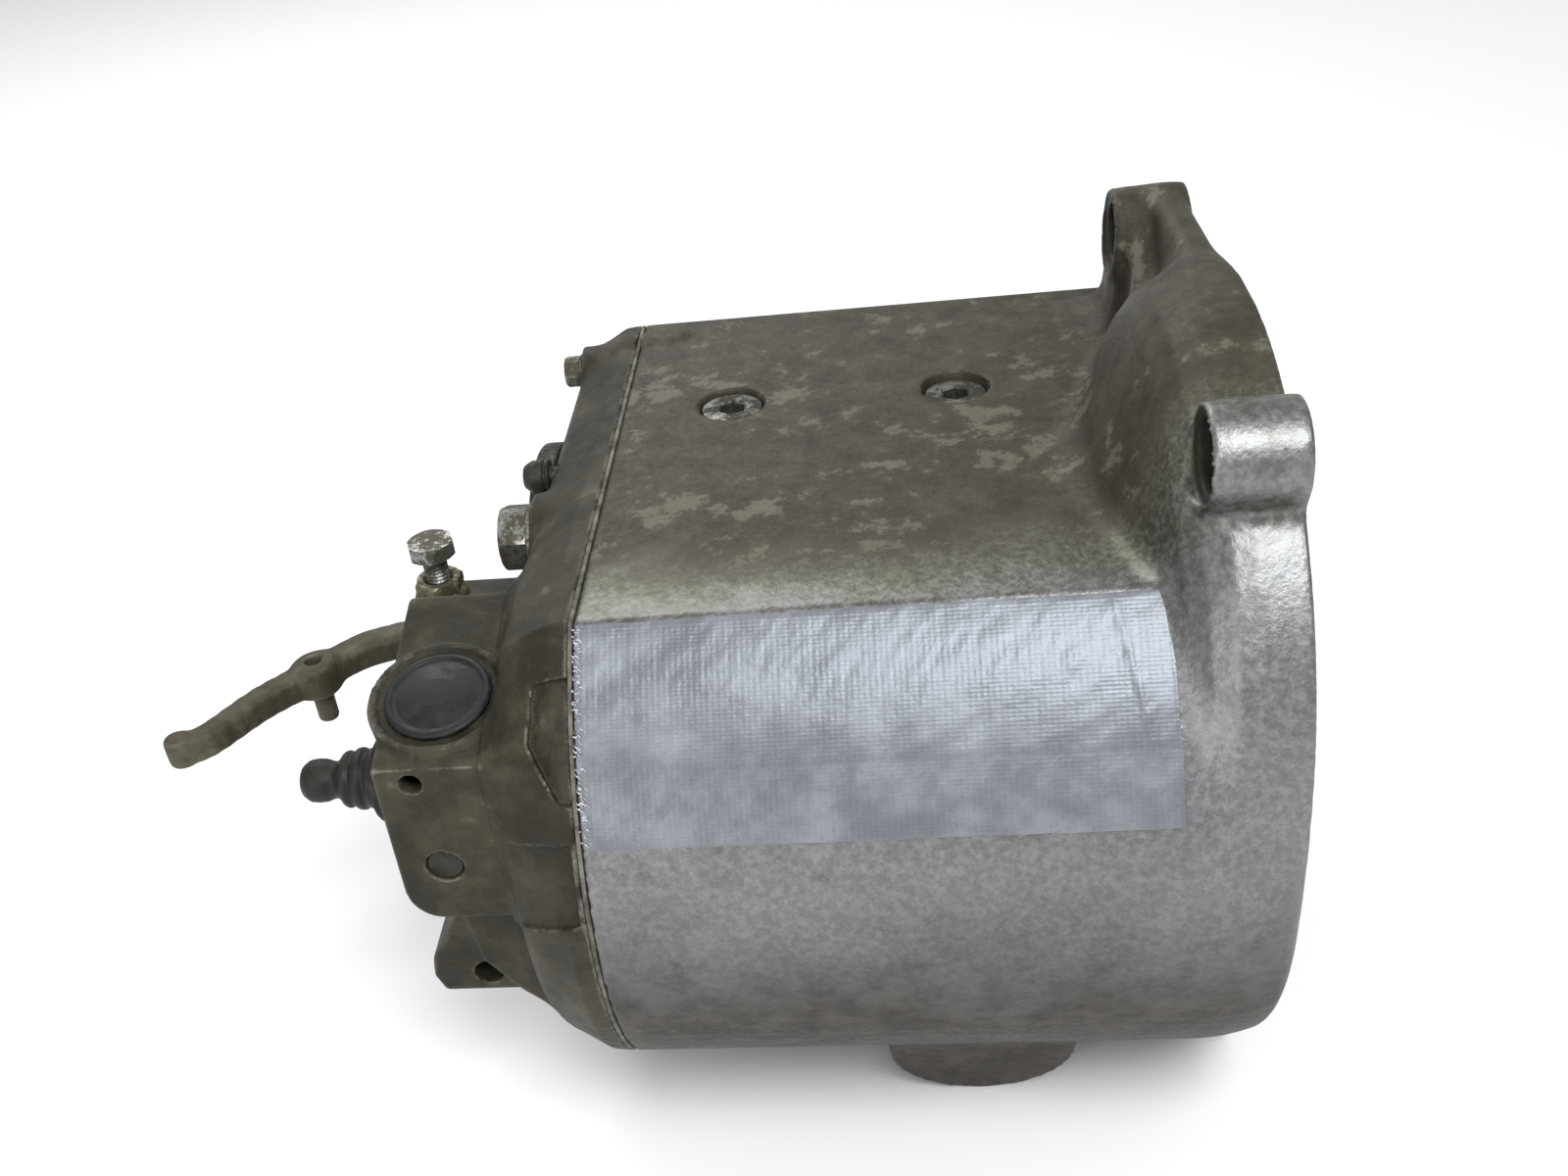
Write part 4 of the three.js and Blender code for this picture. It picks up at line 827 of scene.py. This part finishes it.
def cover_field():
    step = 0.85
    f = Field((-63, -103, -103), (COVER_X, 144, 86), step)
    back = [(-20, 8), (-22.6, 11), (COVER_BACK_X, 15.5)]
    f.join(skin([(4, 0), (COVER_X, 0), (-7, 0.6), *back, (COVER_BACK_X, DEEP), (4, DEEP)]), 0.1)
    f.join(cylinder("x", 33, COVER_BACK_X - 1, -10, *OUTPUT, 1.2), 2)
    f.join(cylinder("x", 17, COVER_BACK_X - 1.6, -10, *LAY, 1.2), 2)
    for y, z in ((64, -40), (50, -62), (2, -60)):
        f.join(bar("x", LAY, (y, z), 3, 2.2, COVER_BACK_X - 1.4, -10, 1), 2.5)
    f.join(bulge(0, 1.8), 12)
    f.join(prism("y", [(-48, 0), (-44, -30), (-34, -44), (-18, -60), (-18, 0)], -70, 0, 2), 5)
    lug = [(-46, -8), (-61, -33), (-62, -40), (-59.5, -46.5), (-33, -47), (-22, -8)]
    f.join(prism("y", lug, -66, -40, 1.6), 4)
    f.join(bar("z", PIVOT, (-24, PIVOT[1]), 8.6, 8.6, 12, EAR_TOP_Z, 1), 4)
    f.join(cylinder("x", 13.5, COVER_BACK_X - 1, COVER_X, *DETENT, 1), 4)
    for y, z in COVER_BOLTS:
        f.join(cylinder("x", 8.8, BOSS_BACK_X, COVER_X, y, z, 1.2), 4)
    f.join(cylinder("x", 7.5, -9, 4, 124, 77, 1.5), 3)
    f.join(window_disc(20.4, -6, 1.2, 0.6), 1.2)
    f.cut(window_disc(17.6, 0.1, 4, 0.2), 0.8)
    # worn pad at the joint, and the panel under the ledge
    f.cut(skin([(0, -6), (0, 1.8), (-7, 2.5), (-20, 9.9), (-20, -6)], 0.3,
               [(2, 132.5), (-11.6, 133.4), (-13.6, 142.8), (-5.1, 152.3), (2, 152.6)]), 0.35)
    f.cut(skin([(0, -6), (0, 2.4), (-7, 3.2), (-20, 10.8), (-32, 18), (-32, -6)], 0.4,
               [(-3.0, 158.8), (-24, 160.4), (-24, 178), (-3.2, 173)]), 0.4)
    inner = Field((-63, -103, -103), (COVER_X, 144, 86), step)
    roof = COVER_BACK_X + WALL
    inner.join(skin([(6, WALL), (-12, 9), (-17, 13), (roof, 19), (roof, DEEP), (6, DEEP)]), 0.1)
    inner.join(bulge(WALL, 1), 1)
    inner.cut(block(-70, 0, -5, 60, -20, 80, 0.5), 1)
    for y, z in COVER_BOLTS:
        inner.cut(cylinder("x", 8, COVER_BACK_X, 6, y, z), 1)
    for (y, z), r in BEARING_SEATS:
        inner.cut(cylinder("x", r + 4, COVER_BACK_X, -4, y, z), 1)
    inner.cut(cylinder("x", 9, COVER_BACK_X, -5, ROD_Y, ROD_Z), 1)
    inner.cut(cylinder("x", 10, COVER_BACK_X, -10, *DETENT), 1)
    f.value = np.maximum(f.value, -inner.value)
    for (y, z), r in BEARING_SEATS:
        f.cut(cylinder("x", r, -16.3, 8, y, z), 0.4)
    f.cut(prism("z", [(-46, 30), (-46, 5), (-54, -6), (-85, -6), (-85, 30)],
                LEVER_Z - LEVER_HALF - 0.4, LEVER_Z + LEVER_HALF + 0.4, 0.6), 0.6)
    f.cut(cylinder("x", 8.4, -70, -10, *INPUT), 0.4)
    f.cut(cylinder("x", 16, -40, -10, *OUTPUT), 0.4)
    f.cut(cylinder("x", 22.4, COVER_BACK_X - 5, COVER_BACK_X + 4.4, *OUTPUT), 0.4)
    f.cut(cylinder("x", ROD_R + 0.5, -16, 8, ROD_Y, ROD_Z), 0.4)
    f.cut(cylinder("x", 7.4, -40, -8, *DETENT), 0.4)
    f.cut(cylinder("x", 3.4, -40, -10, *BREATHER), 0.4)
    f.cut(window_disc(WINDOW[2] + 0.4, -12, 6), 0.4)
    f.cut(cylinder("x", 7.4, BULGE["x0"] - 3, BULGE["x0"] + 9, *SWITCH), 0.4)
    f.cut(cylinder("y", 5.4, BULGE["y0"] - 3, BULGE["y0"] + 10, *SELECTOR), 0.4)
    f.cut(cylinder("y", 5.4, INPUT[0] - 16, INPUT[0] - 8, *SELECTOR), 0.4)
    f.cut(cylinder("y", 3.2, BULGE["y0"] - 3, BULGE["y0"] + 9, -48.4, 45.6), 0.5)
    f.cut(cylinder("y", 4.5, -70, -36, *LUG_HOLE), 0.8)
    f.cut(cylinder("z", 4.4, 6, 62, *PIVOT), 0.4)
    for y, z in COVER_BOLTS:
        f.cut(cylinder("x", 3.4, -40, 6, y, z), 0.3)
        f.cut(cylinder("x", 7.6, -40, BOSS_BACK_X, y, z), 0.6)
    f.value = np.maximum(f.value, f.axes[0][:, None, None] - COVER_X)
    return f


place("rear_cover_cast", field_mesh(cover_field(), "rear_cover_cast"), "root", COVER, ["rear_cover"])


def gasket_mesh():
    """A thin ring in the joint; its outer edge wanders a little in and out, as pressed paper does."""
    bm = bmesh.new()
    rows = []
    for inset, x in ((0.12, COVER_X + 0.1), (0.12, -0.1), (WALL - 1, -0.1), (WALL - 1, COVER_X + 0.1)):
        row = []
        outline = casing_outline(inset)
        for i, (y, z) in enumerate(outline):
            wander = 0.12 * math.sin(i * 2.7) + 0.1 * math.sin(i * 1.13) if inset < 1 else 0.0
            reach = math.hypot(y, z)
            row.append(bm.verts.new((x, y * (1 - abs(wander) / reach), z * (1 - abs(wander) / reach))))
        rows.append(row)
    bridge(bm, rows + rows[:1])
    return finish_mesh(bm, "gasket_ring")


place("gasket_ring", gasket_mesh(), "root", PAPER, ["cover_gasket"], smooth=False)


# ---- tape -----------------------------------------------------------------------------------------
def ripple(u, v, seed):
    """Smooth random height from a few sines, between about -1 and 1."""
    rng = np.random.default_rng(seed)
    total = 0
    for k in range(14):
        fu, fv = rng.uniform(0.05, 0.55, 2) * (1 + k / 3)
        total = total + np.sin(u * fu * 0.3 + v * fv * 0.3 + rng.uniform(0, 6.28)) / (1 + k * 0.6)
    return total / 2.2


def tape_strip(name, x0, x1, low, high, lift, seed, flap=0.0):
    """A strip of cloth tape on the barrel between x0 and x1 and the angles low and high, with ragged ends.
    lift raises it over another strip, and flap lengthens its upper corner."""
    nu, nv = 340, 90
    u = np.linspace(0, 1, nu)[:, None]
    v = np.linspace(0, 1, nv)[None, :]
    row = np.arange(nv)[None, :]
    torn = ripple(row * 9.0, 0 * v, seed) * 0.7 + ripple(row * 31.0, 0 * v, seed + 1) * 0.4
    left = x0 + np.abs(torn)
    right = x1 - 0.5 * np.abs(torn[:, ::-1]) + flap * np.clip((v - 0.86) / 0.14, 0, 1) ** 0.5
    x = left + (right - left) * u
    degrees = low + (high - low) * v + 0.12 * ripple(x, 0 * x, seed + 2)
    turn = np.radians(degrees)
    arc_mm = turn * BARREL_R
    crinkle = 0.10 * ripple(x * 2.2, arc_mm * 2.2, seed + 3) + 0.06 * ripple(x * 7, arc_mm * 5, seed + 4)
    fold = 0.22 * np.exp(-((x - 148 - (arc_mm - 240) * 0.2) / 1.2) ** 2)
    edge = np.clip(np.minimum(np.minimum(u, 1 - u) * nu, np.minimum(v, 1 - v) * nv) / 3, 0, 1)
    r = BARREL_R + DRAFT * x + 0.5 + lift + (0.16 + crinkle + fold) * edge
    top = np.stack([x, r * np.cos(turn), r * np.sin(turn)], -1)
    r0 = BARREL_R + DRAFT * x + 0.25 + lift
    under = np.stack([x, r0 * np.cos(turn), r0 * np.sin(turn)], -1)
    points = np.concatenate([top.reshape(-1, 3), under.reshape(-1, 3)])
    grid = np.arange(nu * nv).reshape(nu, nv)
    quads = np.stack([grid[:-1, :-1], grid[:-1, 1:], grid[1:, 1:], grid[1:, :-1]], -1).reshape(-1, 4)
    rim = np.concatenate([grid[:, 0], grid[-1, 1:], grid[-2::-1, -1], grid[0, -2:0:-1]])
    wall = np.stack([rim, np.roll(rim, -1), np.roll(rim, -1) + nu * nv, rim + nu * nv], -1)
    faces = np.concatenate([quads[:, ::-1], quads + nu * nv, wall])
    bm = bmesh.new()
    verts = [bm.verts.new(p) for p in points]
    for face in faces:
        bm.faces.new([verts[k] for k in face])
    return sharp(finish_mesh(bm, name), 50)


TAPE_STRIPS = {
    "tape_lower": (0.8, 158.6, 159.6, 146.6, 0.0, 3),
    "tape_upper": (0.6, 158.2, 147.6, 124.6, 0.28, 8, 3.0),
}
for name, strip in TAPE_STRIPS.items():
    place(name, tape_strip(name, *strip), "root", TAPE, ["tape_label"])


def loose_threads():
    """Frayed white ends of the cloth where the tape was torn at the joint."""
    rng = np.random.default_rng(5)
    bm = bmesh.new()
    for _ in range(120):
        start = np.array([rng.uniform(0.6, 2.2), rng.uniform(125.5, 158.5)])
        heading = rng.uniform(-0.7, 0.7) + (math.pi if rng.random() < 0.3 else 0)
        length, half = rng.uniform(0.8, 2.6), rng.uniform(0.12, 0.34)
        lift = rng.uniform(0.75, 1.25)
        rows = []
        for k in range(4):
            t = k / 3
            x = max(start[0] + math.cos(heading + t) * length * t, 0.2)
            turn = math.radians(start[1] + math.degrees(math.sin(heading + t) * length * t / BARREL_R))
            r = BARREL_R + lift + 0.3 * math.sin(t * 3)
            section = []
            for c, d in ((-half, 0), (0, half * 0.6), (half, 0), (0, -half * 0.6)):
                a = turn + c * (1 - 0.7 * t) / BARREL_R
                section.append(bm.verts.new((x, (r + d) * math.cos(a), (r + d) * math.sin(a))))
            rows.append(section)
        bridge(bm, rows)
        bm.faces.new(rows[0][::-1])
        bm.faces.new(rows[-1])
    return finish_mesh(bm, "tape_threads")


place("tape_threads", loose_threads(), "root", THREAD)


# ---- clutch lever and its pivot -------------------------------------------------------------------
def lever_field():
    step = 0.6
    f = Field((-136, -46, 14), (-48, 28, 43), step)
    points = []
    last = len(LEVER_PATH) - 1
    for i in range(last):
        a, b, c, d = (np.array(LEVER_PATH[max(min(i + k, last), 0)], float) for k in (-1, 0, 1, 2))
        for t in np.linspace(0, 1, 5)[:-1]:        # a Catmull-Rom curve through the path's points
            square, cube = 2 * a - 5 * b + 4 * c - d, 3 * b - a - 3 * c + d
            points.append(0.5 * (2 * b + (c - a) * t + square * t ** 2 + cube * t ** 3))
    points.append(np.array(LEVER_PATH[-1], float))
    count = len(points) - 1
    for i, (a, b) in enumerate(zip(points, points[1:])):
        half = [5.6 - 2 * k / count for k in (i, i + 1)]
        f.join(bar("z", tuple(a), tuple(b), half[0], half[1], LEVER_Z - 4.5, LEVER_Z + 4.5, 2.4), 0.6)
    hub = LEVER_Z - LEVER_HALF, LEVER_Z + LEVER_HALF
    f.join(cylinder("z", 7.6, *hub, *PIVOT, 1), 3)
    f.join(bar("z", PIVOT, (PIVOT[0] + 0.5, INPUT[0]), 6, 4.5, *hub, 0.8), 1)
    f.join(cylinder("z", 6.6, LEVER_Z - 6, LEVER_Z + 5.4, *LEVER_PATH[3], 1.6), 3)
    f.join(cylinder("z", 3.3, LEVER_Z - 17, LEVER_Z, *LEVER_PATH[3], 1), 1.5)
    f.join(cylinder("z", 3.9, LEVER_Z - 4.9, LEVER_Z + 4.7, *LEVER_PATH[-1], 1.2), 1.5)
    f.cut(cylinder("z", 4.4, 0, 80, *PIVOT), 0.4)
    f.cut(cylinder("z", 2.6, LEVER_Z + 1.5, 80, *LEVER_PATH[3]), 0.8)
    return f


place("clutch_lever_cast", field_mesh(lever_field(), "clutch_lever_cast"), "lever", LEVER, ["clutch_lever"])


def fastener(name, axis, a, b, build, material, replaces, degrees=32, body="root"):
    """A small piece built round Z from the design coordinate along its axis."""
    bm = bmesh.new()
    build(bm)
    data = finish_mesh(bm, name, turn_to(axis, a, b))
    return place(name, sharp(data, degrees), body, material, replaces)


def threaded(low, high, r, pitch=1.25, depth=0.6):
    """Profile rows of a threaded stretch."""
    rows = []
    h = low
    while h < high - pitch:
        rows += [(r - depth, h), (r, h + pitch * 0.45), (r, h + pitch * 0.55)]
        h += pitch
    return rows + [(r - depth, high)]


def pivot_bolt(bm):
    foot = [(0, 8), (4.6, 8), (5, 8.6), (5, 11.4), (4, 11.8), (3.9, 40)]
    lathe(bm, [*foot, *threaded(40, 61.6, 3.9), (3.4, 62.4), (0, 62.4)], 48, 0)
    hex_head(bm, 13.9, 62, 67, 1.0, 0.35)
    lathe(bm, [(0, 61.9), (6.6, 61.9), (6.6, 62.3), (0, 62.3)], 48, 0)


def pivot_nut(bm):
    top = EAR_TOP_Z + 0.3
    flange = above(top, (4.3, 0), (8.5, 0), (8.6, 0.9), (8.2, 1.5), (6.6, 2.9), (4.3, 2.9), (4.3, 0))
    lathe(bm, flange, 64, 0.3)
    hex_ring(bm, 13.9, 4.3, top + 2.2, top + 6.5, 0.8)


def hex_ring(bm, across, bore, low, high, chamfer):
    """A nut: a hexagon with a bore."""
    flat, face = hexagon(across), across / 2
    rows = [(bore, low), (face, low), (flat, low + chamfer), (flat, high - chamfer), (face, high),
            (bore + 0.7, high), (bore, high - 0.7)]
    rings = [ring(bm, reach, h, HEX_SIDES) for reach, h in rows]
    bridge(bm, rings + rings[:1])


fastener("clutch_pivot_bolt_hex", "z", *PIVOT, pivot_bolt, ZINC, ["clutch_pivot_bolt"])
fastener("clutch_pivot_nut_flanged", "z", *PIVOT, pivot_nut, OLIVE, ["clutch_pivot_nut"])


# ---- fasteners and fittings on the cover ----------------------------------------------------------
def cover_bolt(bm):
    back = BOSS_BACK_X
    washer = above(back, (0, -1.6), (5.4, -1.6), (6.1, -1.3), (6.2, -0.4), (3, -0.3))
    lathe(bm, [*washer, (3, 20), (0, 20)], 48, 0.2)
    hex_head(bm, 9.9, back - 7, back - 1.5, 0.8, 0.5)


for i, (y, z) in enumerate(COVER_BOLTS):
    fastener(f"cover_bolt_hex_{i + 1}", "x", y, z, cover_bolt, BOLT, [f"cover_bolt_{i + 1}"])


def detent_plug(bm):
    back = COVER_BACK_X
    washer = above(back, (0, -3), (10.6, -3), (11, -2.6), (11, -1.6), (10.6, -1.3), (7, -1.3))
    lathe(bm, [*washer, (7, -11), (0, -11)], 56, 0.2)
    hex_head(bm, 18.9, back - 12, back - 2.5, 1.3, 0.2)


def breather(bm):
    lathe(bm, above(COVER_BACK_X, (0, -9), (3.6, -9), (4.4, -8), (5.4, -6.2), (5.5, -2.6), (4.7, -2.2),
                    (4.7, -1.4), (5.5, -1), (5.5, -0.4), (3, -0.3), (3, 8), (0, 8)), 40, 0.3)


def switch_body(bm):
    back = BULGE["x0"]
    hex_head(bm, 23.9, back - 8.9, back - 0.4, 2.2)
    lathe(bm, [(0, back - 5), (7, back - 5), (7, back + 8), (0, back + 8)], 48, 0.4)


def switch_boot(bm):
    back = BULGE["x0"] - 9.3
    cap = [(0, -92), (3.4, -92), (4.8, -91.4), (6.3, -89.4), (6.6, -87), (6.4, -84.4), (5.7, -82.6)]
    first_fold = [(5.5, -81.2), (6.4, -79.9), (8.2, -78.6), (8.7, -77.4), (8.1, -76.2)]
    second_fold = [(8.1, -75.6), (9.2, -74.6), (9.4, -73), (8.7, -71.8), (8.7, -71.2), (9.3, -70.2)]
    lathe(bm, [*cap, *first_fold, *second_fold, (9.3, back - 0.2), (8.9, back), (0, back)], 64, 0.6)


def window_plug(bm):
    flange = [(14, 0.3), (15.2, 0.3), (15.4, 0.7), (15.3, 1.3), (14.6, 1.9), (13.6, 2.0), (12.9, 1.6)]
    dome = [(12.1, 1.5), (9, 2.3), (5, 2.85), (0, 3.0)]
    lathe(bm, [(0, -4), (13, -4), (14, -2), *flange, *dome], 72, 0.25)


fastener("detent_plug_hex", "x", *DETENT, detent_plug, BOLT, ["detent_plug"])
fastener("breather_cap_turned", "x", *BREATHER, breather, DARK, ["breather_cap"])
fastener("neutral_switch_body", "x", *SWITCH, switch_body, OILY, ["neutral_switch"])
fastener("switch_boot_rubber", "x", *SWITCH, switch_boot, BOOT, ["switch_boot"], degrees=60)

def output_nut(bm):
    hex_ring(bm, 26.9, 7.4, -45, -38.4, 1.6)


def output_flange():
    """The turned drive flange: a thin plate with four bolt holes on a hub."""
    y, z = OUTPUT
    f = Field((-38, y - 46, z - 46), (-19, y + 46, z + 46), 0.7)
    f.join(cylinder("x", 44, -36, -28, y, z, 1.2), 0.1)
    f.join(cylinder("x", 19, -37, -25.4, y, z, 0.8), 1.6)
    f.cut(cylinder("x", 24, -50, -35, y, z, 0.5), 0.8)
    f.join(cylinder("x", 18.6, -37, -26, y, z, 1), 1.6)
    for k in range(4):
        turn = math.radians(45 + 90 * k)
        f.cut(cylinder("x", 4.2, -50, -10, y + 34 * math.cos(turn), z + 34 * math.sin(turn)), 0.9)
    f.cut(cylinder("x", 7.3, -50, -10, y, z), 0.4)
    return f


fastener("output_nut_hex", "x", *OUTPUT, output_nut, OILY, ["output_nut"], body="output")
place("output_flange_turned", field_mesh(output_flange(), "output_flange_turned"), "output", DARK,
      ["output_flange"])

plug = bmesh.new()
window_plug(plug)
plug_place = (Matrix.Translation(at(WINDOW[0], WINDOW[1], WINDOW_Z)) @ Matrix.Rotation(TILT, 4, "X")
              @ Matrix.Scale(MM, 4))
place("window_plug_rubber", sharp(finish_mesh(plug, "window_plug_rubber", plug_place), 60), "root", RUBBER,
      ["window_plug"])


# ---- casing screws and plugs ----------------------------------------------------------------------
def socket_head(bm, outer, top, across, depth):
    """A turned body whose flat top has a hexagon socket; outer is its profile up to the top's edge."""
    rings = [ring(bm, r, h, HEX_SIDES) for r, h in outer]
    for grow, h in ((0.5, top), (0.0, top - 0.5), (0.0, top - depth), (-1.2, top - depth - 0.5)):
        rings.append(ring(bm, hexagon(across + 2 * grow), h, HEX_SIDES))
    rings.append(ring(bm, 0, top - depth - 1.2, 1))
    bridge(bm, rings)


def cam_screw(bm):
    top = TOP_Z - 0.9
    head = above(top, (9.7, -0.9), (10.1, -0.5), (9.9, -0.1), (9.2, 0))
    socket_head(bm, [(0, 65), (3.6, 65), (4, 65.6), (4, 76.6), *head], top, 8, 4.2)


def drain(bm):
    """Built downwards, so its top is the plug's lower face."""
    socket_head(bm, [(0, 84), (7, 84), (7, 98.6), (6.5, 99.4)], 99.4, 8, 5.5)
    bmesh.ops.transform(bm, matrix=Matrix.Scale(-1, 4, (0, 0, 1)), verts=bm.verts)


def filler(bm):
    face = FAR_Y + 6
    socket_head(bm, [(0, FAR_Y - 5), (9, FAR_Y - 5), (9, FAR_Y + 2.4), (12.4, FAR_Y + 2.4), (13, FAR_Y + 3),
                     (13, face - 1), (12, face - 0.1)], face - 0.1, 10, 7)


for side, x in zip(("rear", "front"), CAM_SCREWS):
    fastener(f"cam_screw_{side}_socket", "z", x, CAM_Y, cam_screw, SCREW, [f"cam_screw_{side}"])
fastener("drain_plug_socket", "z", *DRAIN, drain, BOLT, ["drain_plug"])
fastener("filler_plug_socket", "y", *FILLER, filler, BOLT, ["filler_plug"])

# ---- camera, floor and light ----------------------------------------------------------------------
YAW, PITCH, ROLL = math.radians(4.97), math.radians(33.3), math.radians(5.98)
FOCAL_PIXELS, FRAME_WIDTH = 1619.0, 1600.0
forward = Vector((-math.sin(YAW) * math.cos(PITCH), math.cos(YAW) * math.cos(PITCH), -math.sin(PITCH)))
level = Vector((math.cos(YAW), math.sin(YAW), 0))
rise = level.cross(forward)
right = level * math.cos(ROLL) - rise * math.sin(ROLL)
up = level * math.sin(ROLL) + rise * math.cos(ROLL)
camera_data = bpy.data.cameras.new("camera")
camera_data.sensor_width = 36.0
camera_data.lens = 36.0 * FOCAL_PIXELS / FRAME_WIDTH
camera_data.clip_start = 0.01
camera = bpy.data.objects.new("camera", camera_data)
bpy.context.scene.collection.objects.link(camera)
camera.matrix_world = Matrix.Translation(at(88.4, -405.5, 320.7)) @ Matrix(
    (right, up, -forward)).transposed().to_4x4()
bpy.context.scene.camera = camera

floor_mesh = bpy.data.meshes.new("floor")
floor_mesh.from_pydata([(-4, -4, 0), (4, -4, 0), (4, 4, 0), (-4, 4, 0)], [], [(0, 1, 2, 3)])
floor = bpy.data.objects.new("floor", floor_mesh)
bpy.context.scene.collection.objects.link(floor)
floor_paint = bpy.data.materials.new("floor_pale")
floor_paint.use_nodes = True
floor_paint.node_tree.nodes["Principled BSDF"].inputs["Base Color"].default_value = (0.86, 0.86, 0.86, 1)
floor_paint.node_tree.nodes["Principled BSDF"].inputs["Roughness"].default_value = 0.9
floor_mesh.materials.append(floor_paint)


def softbox(name, centre, target, width, height, power, colour=(1, 1, 1)):
    data = bpy.data.lights.new(name, "AREA")
    data.shape = "RECTANGLE"
    data.size, data.size_y = width, height
    data.energy = power
    data.color = colour
    lamp = bpy.data.objects.new(name, data)
    bpy.context.scene.collection.objects.link(lamp)
    lamp.location = centre
    lamp.rotation_euler = (Vector(target) - Vector(centre)).to_track_quat("-Z", "Y").to_euler()


TARGET = (0, 0, 0.1)
softbox("key", (0.35, -0.75, 1.25), TARGET, 0.7, 0.5, 17, (0.95, 0.975, 1.0))
softbox("near_fill", (-0.7, -1.2, 0.45), TARGET, 0.6, 0.5, 4)
softbox("back", (-0.5, 1.3, 1.3), TARGET, 1.0, 0.7, 11)
world = bpy.data.worlds.new("studio")
bpy.context.scene.world = world
world.use_nodes = True
world.node_tree.nodes["Background"].inputs["Color"].default_value = (1.0, 1.0, 1.0, 1)
world.node_tree.nodes["Background"].inputs["Strength"].default_value = 0.7
bpy.context.scene.view_settings.view_transform = "Standard"
